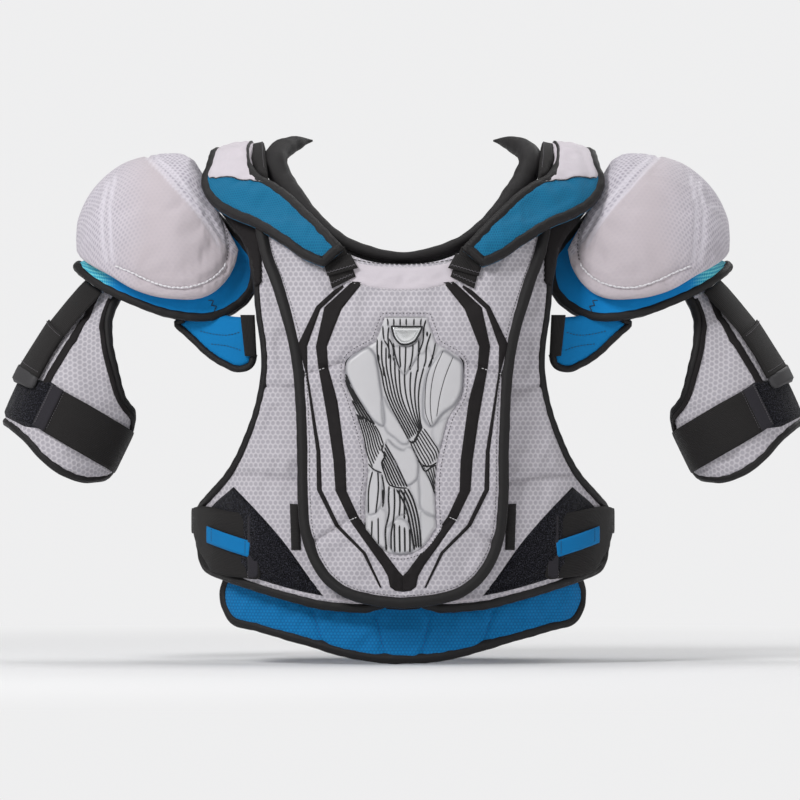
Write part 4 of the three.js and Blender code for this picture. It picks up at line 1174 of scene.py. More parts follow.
CELLS = [
    (crop((104, 400), (150, 362), (262, 305), (298, 345), (318, 420), (340, 560), (354, 660), (350, 845), (300, 815), (232, 722), (118, 520), (98, 452)), 2.4, 4.2),
    (crop((775, 325), (850, 365), (905, 405), (913, 500), (900, 615), (855, 695), (778, 755), (682, 848), (645, 800), (634, 700), (645, 560), (668, 470), (722, 385)), 2.4, 4.2),
    (crop((368, 650), (388, 695), (460, 805), (538, 950), (530, 968), (498, 972), (440, 928), (388, 888), (368, 850)), 1.5, 3.4),
    (crop((388, 945), (440, 985), (500, 1012), (545, 992), (598, 1080), (603, 1150), (596, 1208), (532, 1258), (445, 1100), (380, 965)), 1.7, 3.4),
    (crop((622, 1110), (650, 1155), (700, 1245), (728, 1350), (730, 1468), (700, 1472), (622, 1418), (612, 1300), (606, 1200)), 1.6, 3.2),
    (crop((545, 1275), (598, 1226), (606, 1300), (612, 1420), (574, 1345)), 1.0, 2.4),
    (crop((628, 1440), (735, 1502), (748, 1575), (680, 1680), (628, 1695), (618, 1560)), 1.3, 3.2),
    (crop((808, 790), (782, 930), (745, 990), (700, 880)), 1.0, 2.4),
    (crop((244, 1160), (280, 1150), (322, 1160), (350, 1190), (352, 1280), (346, 1385), (312, 1448), (262, 1462), (240, 1380), (238, 1260)), 1.3, 2.8),
    (crop((236, 1478), (300, 1462), (345, 1420), (372, 1430), (372, 1600), (374, 1690), (330, 1680), (262, 1620), (222, 1560)), 1.1, 2.8),
    (crop((392, 1300), (430, 1275), (470, 1285), (508, 1330), (520, 1450), (470, 1470), (430, 1505), (392, 1545), (380, 1460)), 1.1, 2.6),
    (crop((412, 1560), (436, 1512), (480, 1488), (520, 1505), (545, 1560), (560, 1640), (568, 1700), (500, 1733), (440, 1728), (414, 1700)), 1.5, 3.0),
    (crop((345, 250), (356, 215), (395, 150), (410, 180), (432, 300), (470, 440), (430, 385), (398, 300)), 0.8, 2.0),
    (crop((640, 170), (680, 110), (722, 220), (735, 300), (702, 362), (668, 300), (640, 340), (610, 345), (636, 220)), 0.9, 2.2),
    (crop((436, 300), (480, 290), (520, 296), (560, 285), (604, 240), (604, 345), (545, 440), (508, 490), (468, 440)), 1.3, 2.6),
]


def guides(a, b, n, ts=None):
    """n lines between two guide lines."""
    A_, B_ = spline(a, False, 1.0), spline(b, False, 1.0)
    k = np.linspace(0, 1, 60)
    f = lambda P: np.stack([np.interp(k, np.linspace(0, 1, len(P)), P[:, i]) for i in range(2)], -1)
    P, Q = f(A_), f(B_)
    return [P * (1 - t) + Q * t for t in (np.linspace(0, 1, n) if ts is None else ts)]


INK = []  # (polyline, width mm)


def ink(lines, w):
    for l in lines:
        INK.append((np.array(l), w * 1.45 if w < 1.6 else w))


# tiles under the top edge
for x0, x1 in ((385, 392), (433, 433), (477, 477), (519, 519), (575, 572), (626, 620)):
    ink([spline(crop((x0, 92), (x1, 122), (x1, 150)), False, 1.0)], 1.15)
# flow of the upper feather, from the badge down to the first crossing
ink(guides(crop((318, 205), (322, 370), (346, 470), (372, 600), (410, 700), (470, 815), (536, 940)), crop((470, 440), (472, 520), (482, 620), (505, 700), (548, 790), (580, 850), (600, 895)), 6), 1.2)
ink(guides(crop((508, 480), (508, 540), (516, 620), (535, 700), (562, 780), (590, 840), (612, 880)), crop((640, 440), (612, 560), (604, 640), (606, 720), (612, 780), (620, 830), (630, 862)), 4), 1.15)
# lines above the crossing that hang from the badge
ink(guides(crop((366, 250), (396, 300), (398, 380)), crop((400, 240), (428, 300), (430, 380)), 2), 1.2)
for pts in (((430, 270), (437, 330), (468, 440)), ((474, 288), (474, 360), (480, 440)), ((516, 292), (514, 380), (508, 480)), ((566, 280), (562, 350), (546, 440)), ((606, 250), (606, 340)), ((655, 110), (640, 170), (636, 250), (606, 345), (600, 470)), ((690, 200), (660, 300), (652, 400), (640, 440)), ((722, 270), (702, 365), (672, 440)), ((356, 150), (360, 215), (366, 250)), ((398, 160), (392, 220), (398, 290))):
    ink([spline(crop(*pts), False, 1.0)], 1.15)
# second leg of the feather, and the fan below it
ink(guides(crop((548, 960), (580, 1030), (618, 1100), (652, 1150)), crop((640, 862), (700, 950), (742, 1020), (748, 1060)), 8), 1.05)
ink(guides(crop((650, 1150), (692, 1240), (722, 1330)), crop((742, 1110), (738, 1180), (734, 1260)), 6), 1.05)
ink([spline(crop((536, 945), (560, 962), (590, 920), (610, 870)), False, 1.0), spline(crop((545, 958), (575, 955), (600, 905), (628, 860)), False, 1.0)], 1.9)
ink([spline(crop((612, 1095), (655, 1158), (695, 1130), (742, 1112)), False, 1.0), spline(crop((600, 1085), (640, 1120), (690, 1122), (742, 1090)), False, 1.0)], 1.9)
# the band that comes down from the left edge
ink(guides(crop((92, 470), (150, 600), (232, 735), (300, 838)), crop((92, 560), (120, 640), (180, 770), (200, 800)), 5), 1.5)
ink(guides(crop((300, 838), (332, 895), (352, 950), (362, 975)), crop((182, 775), (225, 920), (250, 1040), (285, 1130)), 8), 1.1)
ink([spline(crop((362, 970), (350, 1010), (372, 1050), (350, 1100), (362, 1150)), False, 1.0), spline(crop((300, 835), (250, 800), (180, 772)), False, 1.0)], 2.0)
ink(guides(crop((372, 968), (430, 1070), (480, 1170), (526, 1268)), crop((350, 1120), (372, 1180), (392, 1235), (410, 1262)), 7), 1.25)
ink([spline(crop((404, 1255), (450, 1270), (526, 1276)), False, 1.0)], 1.7)
# the lower fan
ink(guides(crop((528, 1278), (560, 1340), (592, 1440), (612, 1560), (622, 1690)), crop((452, 1285), (500, 1370), (528, 1450), (552, 1560), (574, 1690)), 4), 1.5)
for pts in (((400, 1262), (396, 1350), (400, 1440), (376, 1560), (380, 1700)), ((436, 1275), (438, 1380), (430, 1500), (416, 1580), (414, 1705)), ((470, 1285), (476, 1380), (470, 1470)), ((504, 1300), (506, 1400), (506, 1470))):
    ink([spline(crop(*pts), False, 1.0)], 1.3)
ink(guides(crop((437, 1520), (437, 1620), (440, 1722)), crop((542, 1560), (545, 1640), (545, 1722)), 4), 1.4)
for pts in (((285, 1160), (262, 1260), (256, 1450)), ((322, 1160), (326, 1260), (308, 1450)), ((350, 1180), (366, 1290), (356, 1410)), ((282, 1500), (278, 1630)), ((324, 1480), (326, 1680)), ((240, 1090), (300, 1150), (350, 1170))):
    ink([spline(crop(*pts), False, 1.0)], 1.15)
ink([spline(crop((775, 322), (720, 450), (690, 600), (690, 760), (700, 830)), False, 1.0), spline(crop((846, 362), (790, 500), (752, 640), (730, 780)), False, 1.0), spline(crop((700, 390), (660, 520), (650, 640), (655, 760), (690, 850)), False, 1.0)], 0.5)
# short thick dashes where the feather steps
for pts in (((326, 350), (328, 400)), ((394, 270), (396, 305)), ((360, 430), (366, 500)), ((432, 365), (434, 395)), ((470, 430), (470, 458)), ((546, 425), (546, 458)), ((608, 325), (608, 352)), ((664, 190), (664, 225)), ((700, 352), (704, 384)), ((356, 1285), (360, 1390)), ((536, 1480), (538, 1520)), ((505, 1460), (507, 1490)), ((574, 1665), (574, 1705)), ((380, 1660), (380, 1710))):
    ink([spline(crop(*pts), False, 1.0)], 2.3)

insert_in = offset_in(insert_line, 0.6)
CELL_LINES = [(spline(c, True, 1.4), hgt, R) for c, hgt, R in CELLS]


def insert_bump(u, v, d):
    P = np.stack([u, v], -1)
    z = np.zeros(len(P))
    for line, hgt, R in CELL_LINES:
        sd = near_dist(P, line, True, 8)
        ins = inside(P, line)
        prof = np.sqrt(np.maximum(0, 1 - (1 - np.clip(sd / R, 0, 1)) ** 2))
        z = np.maximum(z, np.where(ins, hgt * prof, 0))
        z = z - np.where(ins, 0, 0.9) * np.exp(-((sd / 1.0) ** 2))
    for line, w in INK:
        if w > 0.6:
            z = z - 0.35 * np.exp(-((near_dist(P, line, False, 3) / 0.55) ** 2))
    return z * sstep(0.2, 3.0, d)


# painted shade for the moulded material: 1 along the insert's cell outlines, where the grey is darkened as if the
# grooves were in shadow
def insert_groove_shade(u, v):
    P = np.stack([u, v], -1)
    z = np.zeros(len(P))
    for line, hgt, R in CELL_LINES:
        sd = near_dist(P, line, True, 6)
        ins = inside(P, line)
        z = np.maximum(z, np.exp(-((np.where(ins, sd * 0.8, sd) / 1.3) ** 2)) * min(1.0, hgt / 2.0))
    return z


insert = Pad(insert_in, lambda u, v: 26.4 + 0 * u, lambda u, v: 32.0 + 0 * u, FRONT, R=4.5, edge=0.30, crown=1.2, bump=insert_bump)
# the groove attribute carries the painted groove shade into the moulded material
insert.extra = {"groove_shade": insert_groove_shade}
insert.build("sternum_insert", "moulded", "sternum", 1.15, "sternum_insert", "moulded_grey", pair=False)
print("insert built")


def ribbon(line, width, surf, h, thick=0.9, up=0.3, taper=True):
    """A thin flat strip that follows a height function on a surface: returns geometry."""
    L = resample(line, 0.9)
    t = np.gradient(L, axis=0)
    t /= np.linalg.norm(t, axis=1)[:, None] + 1e-9
    n = np.stack([-t[:, 1], t[:, 0]], -1)
    w = np.zeros(len(L)) + width / 2 / UNIT
    if taper:
        e = np.minimum(np.arange(len(L)), np.arange(len(L))[::-1]) / 2.0
        w = w * (0.35 + 0.65 * np.clip(e, 0, 1))
    cols = []
    for k in (-1, -0.33, 0.33, 1):
        q = L + n * (w * k)[:, None]
        cols.append(surf(q[:, 0], q[:, 1], h(q[:, 0], q[:, 1]) + up))
    P = np.stack(cols, 1)
    c = L[:, None] + 0 * L
    N = surf(L[:, 0], L[:, 1], np.zeros(len(L)) + 31.0) - surf(L[:, 0], L[:, 1], np.zeros(len(L)) + 30.0)
    N = np.repeat((N / np.linalg.norm(N, axis=1)[:, None])[:, None], 4, 1)
    V, F = sheet_geo((P - N * thick / 2, N), np.zeros((len(L), 4, 1)) + thick)
    return V, flip_if_inside_out(V, F), np.zeros_like(V)


parts = []
for line, w in [(l, w * 0.8) for l, w in INK]:
    keep_in = line[inside(line, insert_in) & (seg_dist(line, insert_in, True) > 0.9)]
    if len(keep_in) > 2:
        parts.append(ribbon(keep_in, w, FRONT, insert.top))
V, F, G = join_geo(parts)
emit("insert_lines", V, F, "ink", "sternum", fab=G, pair=False)
C, N = path_on(FRONT, np.vstack([insert_in, insert_in[:1]]), lambda u, v: insert.top(u, v) + 1.0)
V, F, G = tube_geo(C[:-1], N[:-1], 0.55, 0.55, True, 6, 0.0)
emit("insert_edge", V, F, "ink", "sternum", fab=G, pair=False)

# badge: a small blank shield with a raised rim
badge_pts = crop((419, 156), (524, 160), (628, 158), (606, 208), (572, 256), (526, 277), (480, 273), (447, 240))
badge_line = spline(badge_pts, True, 1.2, sharp=(0, 2))
badge_h = lambda u, v: insert.top(u, v)
badge_face = 36.4
badge = Pad(badge_line, 32.0, badge_face, FRONT, R=1.6, edge=0.72, crown=0.5, bump=lambda u, v, d: -0.5 * sstep(1.8, 2.6, d))
badge.build("sternum_badge", "badge", "sternum", 0.9, "sternum_badge", "badge_silver", pair=False)
bl = offset_in(badge_line, -0.5)
C, N = path_on(FRONT, bl, 35.2)
V, F, G = tube_geo(C, N, 0.75, 1.0, True, 8, 0.0)
emit("badge_edge", V, F, "ink", "sternum", fab=G, pair=False)


# ------------------------------------------------------------------ shoulder caps
CAP = [(79, 254, 78, 249, 34), (82.5, 260, 79.5, 228, 50), (94, 267.5, 90, 200, 64), (111, 276, 105.5, 180, 75), (134, 289, 127, 164, 83), (159, 297, 152, 156.5, 87), (182, 299.5, 172, 154.5, 88), (202, 299, 185, 155.5, 84), (218, 293, 193, 159.5, 78), (231, 281, 199, 166, 71), (240, 265, 205, 174, 63), (243.5, 249, 210, 183, 55)]
LINER = [(77.5, 265, 78.5, 262, 18), (84, 271.5, 99, 252, 33), (97, 281.5, 107, 225, 47), (116, 292, 116, 199, 58), (140, 302.5, 132, 182.5, 66), (165, 311.5, 152, 175.5, 70), (190, 316, 172, 173, 70.5), (213, 316.5, 185, 173.5, 67), (233, 309, 193, 177, 61), (249, 296, 199, 183.5, 54), (256, 280, 205, 192, 46), (256, 256, 210, 201, 38)]


class Dome:
    """A cap over the shoulder: s runs from the outer to the inner end, a from the front rim over the top to the rear rim."""

    def __init__(self, rows):
        self.rows = np.array(rows, float)

    def row(self, s):
        R = self.rows
        m = len(R) - 1
        x = np.clip(np.asarray(s, float), 0, 1) * m
        i = np.minimum(x.astype(int), m - 1)
        t = (x - i)[..., None]
        p1, p2 = R[i], R[i + 1]
        p0 = np.where((i == 0)[..., None], 2 * p1 - p2, R[np.maximum(i - 1, 0)])
        p3 = np.where((i == m - 1)[..., None], 2 * p2 - p1, R[np.minimum(i + 2, m)])
        return 0.5 * (2 * p1 + (p2 - p0) * t + (2 * p0 - 5 * p1 + 4 * p2 - p3) * t**2 + (3 * p1 - p0 - 3 * p2 + p3) * t**3)

    def base(self, s, a):
        r = self.row(s)
        sn = np.sin(np.pi * a)
        return np.stack([(lerp(r[..., 0], r[..., 2], sn) - U0) * UNIT, -r[..., 4] * np.cos(np.pi * a), (VH - lerp(r[..., 1], r[..., 3], sn)) * UNIT], -1)

    def normal(self, s, a):
        e = 1e-3
        ds = self.base(np.minimum(s + e, 1), a) - self.base(np.maximum(s - e, 0), a)
        da = self.base(s, a + e) - self.base(s, a - e)
        n = np.cross(da, ds)
        n /= np.linalg.norm(n, axis=-1)[..., None] + 1e-12
        c = np.array([-285.0 + 40, 0, 330.0])
        flip = np.sign(((self.base(s, a) - c) * n).sum(-1))
        return n * np.where(flip == 0, 1, flip)[..., None]

    def __call__(self, s, a, h):
        s, a = np.asarray(s, float), np.asarray(a, float)
        h = np.zeros_like(s) + h
        return self.base(s, a) + self.normal(s, a) * h[..., None]

    def locate(self, pts):
        """(s, a) of points on the front half, given as seen from the front."""
        S, Aa = np.meshgrid(np.linspace(0, 1, 241), np.linspace(0.0, 0.5, 161), indexing="ij")
        P = self.base(S, Aa)
        u, v = P[..., 0] / UNIT + U0, VH - P[..., 2] / UNIT
        out = []
        for q in np.array(pts, float):
            d = (u - q[0]) ** 2 + (v - q[1]) ** 2
            k = np.unravel_index(np.argsort(d.ravel())[:6], d.shape)
            w = 1 / (d[k] + 1e-4)
            out.append([(S[k] * w).sum() / w.sum(), (Aa[k] * w).sum() / w.sum()])
        return np.array(out)


def dense(L, step, edge=7.0, k=6):
    """0..1 along a length L (mm), closer together at both ends."""
    n = max(6, int((L - 2 * edge) / step))
    x = np.concatenate([edge * (np.linspace(0, 1, k, endpoint=False) ** 1.5), np.linspace(edge, L - edge, n), L - edge * (np.linspace(1, 0, k + 1)[1:] ** 1.5)])
    return x / L


def dome_pad(name, dome, thick, mat, body, node, slot, relief=None, R=6.0, step=3.0, extra=None, out0=0.0, sim=None):
    gs, ga = dense(250, step), dense(270, step)
    S, Aa = np.meshgrid(gs, ga, indexing="ij")
    B, N = dome.base(S, Aa), dome.normal(S, Aa)
    ls = np.concatenate([np.zeros((1, len(ga))), np.cumsum(np.linalg.norm(np.diff(B, axis=0), axis=2), axis=0)])
    la = np.concatenate([np.zeros((len(gs), 1)), np.cumsum(np.linalg.norm(np.diff(B, axis=1), axis=2), axis=1)], axis=1)
    d = np.minimum(np.minimum(la, la[:, -1:] - la), np.minimum(ls, ls[-1:] - ls))
    prof = np.sqrt(np.maximum(0, 1 - (1 - np.clip(d / R, 0, 1)) ** 2))
    u, v = B[..., 0] / UNIT + U0, VH - B[..., 2] / UNIT
    top = out0 - (1 - prof) * thick * 0.5
    if relief is not None:
        top = top + relief(u, v, d) * sstep(0.5, 4, d)
    if sim is not None:
        F0 = grid_faces(len(gs), len(ga))
        kw = dict(sim)
        pf = kw.pop("pin_fn")
        pin = np.maximum(1 - sstep(R * 0.5, R * 1.1, d), pf(u, v)).ravel()
        top = top + cloth_lift((B + N * top[..., None]).reshape(-1, 3), F0, N.reshape(-1, 3), pin, **kw).reshape(top.shape)
    bot = out0 - thick + (1 - prof) * thick * 0.42
    U, D = B + N * top[..., None], B + N * bot[..., None]
    mid = la[:, len(ga) // 2][:, None]
    fab = np.stack([np.repeat(ls[:, len(ga) // 2][:, None], len(ga), 1), la - mid, 0 * la], -1)
    n = U.size // 3
    F = grid_faces(len(gs), len(ga))
    G = [tuple(i + n for i in f)[::-1] for f in F]
    na = len(ga)
    rim = [i * na for i in range(len(gs))] + [(len(gs) - 1) * na + j for j in range(1, na)] + [i * na + na - 1 for i in range(len(gs) - 2, -1, -1)] + [j for j in range(na - 2, 0, -1)]
    H = [(rim[k], rim[(k + 1) % len(rim)], rim[(k + 1) % len(rim)] + n, rim[k] + n) for k in range(len(rim))]
    V = np.vstack([U.reshape(-1, 3), D.reshape(-1, 3)])
    F = flip_if_inside_out(V, F + G + H)
    f2 = np.vstack([fab.reshape(-1, 3)] * 2)
    ex = None
    if extra:
        ex = {k: np.concatenate([fn(u, v, d, S).ravel()] * 2) for k, fn in extra.items()}
    emit(name, V, F, mat, body, node, slot, f2, True, extra=ex)
    return V, F, f2


cap = Dome(CAP)
liner = Dome(LINER)
RIM_STITCH = [(119, 266), (127, 269.5), (136.7, 273.5), (153.3, 281.5), (165, 285.5), (176.7, 287.8), (188, 287.8), (196.7, 286.4), (206, 283.6), (213.3, 280), (221, 274), (226.7, 267.5), (230, 260), (231.3, 251), (231, 241), (229, 228), (225.5, 214)]
rim_px = spline(RIM_STITCH, False, 1.5)
WELD_A = [spline([(150, 158), (163, 171), (178, 188), (192, 203), (203, 217), (213, 231), (222, 246)], False, 2.0), spline([(158, 157), (171, 169), (186, 185), (200, 201), (211, 215), (219, 228), (226, 240)], False, 2.0)]
WELD_B = [spline([(111, 182), (107, 200), (106, 230), (108, 250), (110, 261)], False, 2.0), spline([(118, 176), (114, 200), (114.5, 235), (117, 262)], False, 2.0)]


def cap_relief(u, v, d):
    P = np.stack([u.ravel(), v.ravel()], -1)
    z = 1.2 * sstep(0, 30, d.ravel())
    ds = seg_dist(P, rim_px, False)
    z = z - 1.9 * np.exp(-((ds / 1.9) ** 2)) - 0.5 * np.exp(-((ds / 6.0) ** 2))
    for l in WELD_A + WELD_B:
        z = z - 0.9 * np.exp(-((seg_dist(P, l, False) / 1.5) ** 2))
    # faint puckers that run in from the rim stitch
    f = np.sin(u.ravel() * 0.55 + v.ravel() * 0.35) * np.sin(u.ravel() * 0.23 - v.ravel() * 0.41 + 1.0)
    z = z + 0.35 * f * np.exp(-((ds - 6) / 7.0) ** 2)
    return z.reshape(u.shape)


def cap_zone(u, v, d, S):
    """1 on the mesh parts, 0 on the plain centre."""
    P = np.stack([u.ravel(), v.ravel()], -1)
    right = (u - 150) * 0.84 - (v - 158) * 0.72
    z = sstep(0, 5, right) + (1 - sstep(100, 170, u)) * 0.9
    low = sstep(235, 262, v) * 0.15
    return np.clip(z - low, 0.10, 1)


def cap_pale(u, v, d, S):
    P = np.stack([u.ravel(), v.ravel()], -1)
    z = np.zeros(len(P))
    for l in WELD_A + WELD_B:
        z = np.maximum(z, np.exp(-((seg_dist(P, l, False) / 1.7) ** 2)))
    return z.reshape(u.shape)


def cap_pin(u, v):
    P = np.stack([u.ravel(), v.ravel()], -1)
    z = 1 - sstep(1.0, 3.0, seg_dist(P, rim_px, False))
    for l in WELD_A + WELD_B:
        z = np.maximum(z, 1 - sstep(0.6, 2.2, seg_dist(P, l, False)))
    return z.reshape(u.shape)


dome_pad("cap_pad", cap, 12.0, "cap_cloth", "cap_*", "cap_pad_*", "mesh_grey", relief=cap_relief, R=6.5, step=3.0, extra={"zone": cap_zone, "pale": cap_pale}, sim=dict(pin_fn=cap_pin, pressure=2.5, grow=0.03, cap=2.6, steps=14, bend=1.0))


def dome_thread(name, dome, px, mat, body, lift=0.4, both=True, **kw):
    q = dome.locate(spline(px, False, 1.5))
    for k in range(3):
        q[1:-1] = (q[:-2] + 2 * q[1:-1] + q[2:]) / 4
    C = dome(q[:, 0], q[:, 1], lift)
    N = dome.normal(q[:, 0], q[:, 1])
    parts = [stitch_geo(C, N, **kw)]
    if both:
        V, F, G = parts[0]
        parts.append((V * A(1, -1, 1), [f[::-1] for f in F], G))
    V, F, G = join_geo(parts)
    emit(name, V, F, mat, body, fab=G)


dome_thread("cap_stitch", cap, RIM_STITCH[:-4], "thread_white", "cap_*", lift=0.7, length=4.2, gap=0.25, r=0.95, zig=0.3)
dome_thread("cap_stitch_dark", cap, RIM_STITCH[-5:], "thread_black", "cap_*", lift=0.1, length=1.9, gap=1.7, r=0.5)
for k, l in enumerate(WELD_B[1:]):
    pass


def liner_relief(u, v, d):
    x = np.sin(u * 0.21 + v * 0.13) * np.sin(v * 0.17 - u * 0.11)
    return 0.5 * x * sstep(4, 16, d)


def liner_net(u, v, d, S):
    return sstep(0.30, 0.20, S) + 0 * u


dome_pad("cap_liner", liner, 7.0, "liner_cloth", "cap_*", "cap_liner_*", "blue_mesh", relief=liner_relief, R=4.0, step=3.0, extra={"net": liner_net})
# binding round the liner
gs, ga = np.linspace(0, 1, 90), np.linspace(0, 1, 60)
loop_s = np.concatenate([gs, np.ones(58), gs[::-1], np.zeros(58)])
loop_a = np.concatenate([np.zeros(90), ga[1:-1], np.ones(90), ga[1:-1][::-1]])
C = liner(loop_s, loop_a, -3.2)
N = liner.normal(loop_s, np.clip(loop_a, 0.004, 0.996))
# soften the four corners
for k in range(6):
    C = (np.roll(C, 1, 0) + 2 * C + np.roll(C, -1, 0)) / 4
    N = (np.roll(N, 1, 0) + 2 * N + np.roll(N, -1, 0)) / 4
C = resample(np.hstack([C, N]), 2.4, True)
V, F, G = tube_geo(C[:, :3], C[:, 3:], 4.5, 4.9, True, 16, 0.05, 2.4)
emit("cap_liner_binding", V, F, "binding", "cap_*", fab=G)
dome_thread("liner_zigzag", liner, [(213, 299), (216, 304), (219, 310), (222, 314)], "thread_black", "cap_*", lift=0.5, both=False, length=3.0, r=0.42, zig=2.2)

# the plastic shell between cap and liner, and the web that hangs the cap from the yoke
gs, ga = np.linspace(2 / 11, 10 / 11, 30), np.linspace(1 / 12, 11 / 12, 40)
S, Aa = np.meshgrid(gs, ga, indexing="ij")
r = cap.row(S)
end = np.clip(1 - S / 0.45, 0, 1)
sn = np.sin(np.pi * Aa)
inw = 13.9
P = np.stack([(lerp(r[..., 0], r[..., 2], sn) + end * inw / UNIT - U0) * UNIT, -(r[..., 4] - inw) * np.cos(np.pi * Aa), (VH - lerp(r[..., 1], r[..., 3] + (1 - end) * inw / UNIT, sn)) * UNIT], -1)
V, F = sheet_geo((P, cap.normal(S, Aa)), np.zeros(S.shape + (1,)) + 1.5)
emit("cap_shell", V, flip_if_inside_out(V, F), "plate", "cap_*", "cap_shell_*", "plate_plastic", np.vstack([P.reshape(-1, 3)] * 2))
gu, gy = np.linspace(0, 1, 8), np.linspace(-22, 22, 16)
Uu, Yy = np.meshgrid(gu, gy, indexing="ij")
P = np.stack([(lerp(231, 221, Uu) - U0) * UNIT, Yy, (VH - lerp(185, 192, Uu)) * UNIT + 0.8 * np.sin(np.pi * Uu)], -1)
N = np.zeros_like(P) + A(0.57, 0, 0.82)
V, F = sheet_geo((P, N), np.zeros(Uu.shape + (1,)) + 2.4)
emit("cap_hinge_web", V, flip_if_inside_out(V, F), "webbing", "cap_*", "cap_hinge_web_*", "black_webbing", np.vstack([P.reshape(-1, 3)[:, [0, 1, 2]]] * 2))

# ------------------------------------------------------------------ shoulder yokes
yoke_rows = [(265, 242), (264, 238), (265, 235), (267, 234), (268, 235), (269, 239), (269, 243)]
a0, a1 = 51.0, 129.0
ya = np.linspace(a0, a1, 7)
yl = np.vstack([np.stack([[r[0] for r in yoke_rows], ya * KQ], -1), np.stack([[r[1] for r in yoke_rows], ya * KQ], -1)[::-1]])
Pad(spline(yl, True, 3.0, sharp=(0, 6, 7, 13)), 2.0, 12.0, OQ, R=5, edge=0.5).build("shoulder_yoke", "stripe_black", "chest", 3.5, "shoulder_yoke_*", "mesh_grey")

# ------------------------------------------------------------------ underarm flap


class Flat:
    def __init__(self, y, side=-1):
        self.y, self.side = y, side

    def __call__(self, u, v, h):
        y = self.y(u) if callable(self.y) else self.y
        return np.stack([(u - U0) * UNIT, y + self.side * (h + 0 * u), (VH - v) * UNIT], -1)

    def fab(self, u, v):
        return np.stack([(u - U0) * UNIT, -v * UNIT, 0 * u], -1)


FLAP = Flat(lambda u: lerp(-70, -52, np.clip((255 - u) / 75, 0, 1)))
flap_line = spline([(181, 324), (197, 338.5), (212, 352.5), (226, 361.5), (243, 367.5), (252.5, 363.5), (256, 345), (256, 330), (252, 317.5), (236, 316.5), (222, 314.5), (205, 313)], True, 2.5, sharp=(0, 8))
flap = Pad(flap_line, -3.2, 3.0, FLAP, R=6, edge=0.4, crown=0.8)
flap.build("underarm_flap", "knit_blue", "cap_*", 2.6, "underarm_flap_*", "blue_mesh")
C, N = path_on(FLAP, spline([(187, 319), (180, 323), (189, 332.5), (197, 340), (212, 354), (226, 363), (243, 369), (253, 365.5), (257.5, 354)], False, 2.5), 0.0)
V, F, G = tube_geo(C, N, 3.4, 4.2, False, 14, 0.05)
emit("flap_binding", V, F, "binding", "cap_*", fab=G)
thread("flap_stitch_b", [(214, 344), (230, 346), (246, 351)], flap, "thread_black", "cap_*", up=0.35, length=2.0, gap=1.1, r=0.28)
thread("flap_stitch_a", [(203, 331), (216, 334), (232, 335), (244, 332)], flap, "thread_black", "cap_*", up=0.35, length=2.0, gap=1.1, r=0.28)
strap("flap_elastic", [(243.5, 315), (248, 356)], [(258, 315), (260, 357)], FLAP, 5.3, 2.0, "webbing", "cap_*", "flap_elastic_*", "black_webbing")


# ------------------------------------------------------------------ upper arm guard
def ap(*rows):
    """(angle in degrees, t) rows to (p, t)."""
    return [(deg_p(a), t) for a, t in rows]


B_UP = [(-150, 2), (-125, -28), (-100, -62), (-78, -100), (-55, -114), (-30, -119), (-14, -117)]
B_IN = [(120, 299), (113, 317), (113, 337), (119, 370), (125.5, 396.7)]
B_LOW = [(-150, 45), (-125, 50), (-100, 52), (-78, 52), (-55, 53), (-30, 58), (-9, 66), (17, 71), (40, 69), (58, 63), (78, 56), (94, 46)]
arm_pts = ap(*B_UP) + [tuple(q) for q in arm_pt(B_IN, -4.0)] + ap((70, -14), (84, 0), (94, 14)) + ap(*B_LOW[::-1])
arm_line = spline(arm_pts, True, 3.0, sharp=(0, len(arm_pts) - 1))
arm = Pad(arm_line, -9.0, 0.2, ARM, R=9, edge=0.5, crown=1.2)
arm.simulate(3.8, pressure=3.0, grow=0.04, cap=2.6)
arm.build("bicep_pad", "mesh_grey", "bicep_*", 3.4, "bicep_pad_*", "mesh_grey")
# binding: all the way round, with a second flat tape on the inner front edge
V, F, G = band(offset_in(arm_line, 2.8), ARM, lambda u, v: -4.3 + 0 * u, 4.5, 5.5, True, 0.0, 16, 0.05)
emit("bicep_binding", V, F, "binding", "bicep_*", fab=G)


def tape(name, px, host, width, mat, body, up=0.5, thick=1.2, surf=None, n=6, step=2.2, pts_are_uv=True, edge=0.85, blend=None):
    """A flat tape along a line on a pad face."""
    L = resample(spline(px, False, 2.0), step)
    t = np.gradient(L, axis=0)
    t /= np.linalg.norm(t, axis=1)[:, None] + 1e-9
    nn = np.stack([-t[:, 1], t[:, 0]], -1)
    sf = surf or host.surf
    ks = np.linspace(-0.5, 0.5, n) * width / host.unit
    Q = L[:, None] + nn[:, None] * ks[None, :, None]
    hh = host.top(Q[..., 0].ravel(), Q[..., 1].ravel()).reshape(Q.shape[:2]) + up
    P = sf(Q[..., 0], Q[..., 1], hh)
    N = sf(Q[..., 0], Q[..., 1], hh + 1) - P
    N /= np.linalg.norm(N, axis=-1)[..., None]
    V, F = sheet_geo((P, N), thick * (1 - 0.5 * np.abs(np.linspace(-1, 1, n)) ** 6)[None, :, None] * np.ones((len(L), 1, 1)))
    d = np.concatenate([[0], np.cumsum(np.linalg.norm(np.diff(P[:, n // 2], axis=0), axis=1))])
    fab = np.stack([np.repeat(d[:, None], n, 1), np.repeat((ks * host.unit)[None], len(L), 0), np.zeros((len(L), n))], -1).reshape(-1, 3)
    emit(name, V, flip_if_inside_out(V, F), mat, body, fab=np.vstack([fab, fab]), blend=blend)


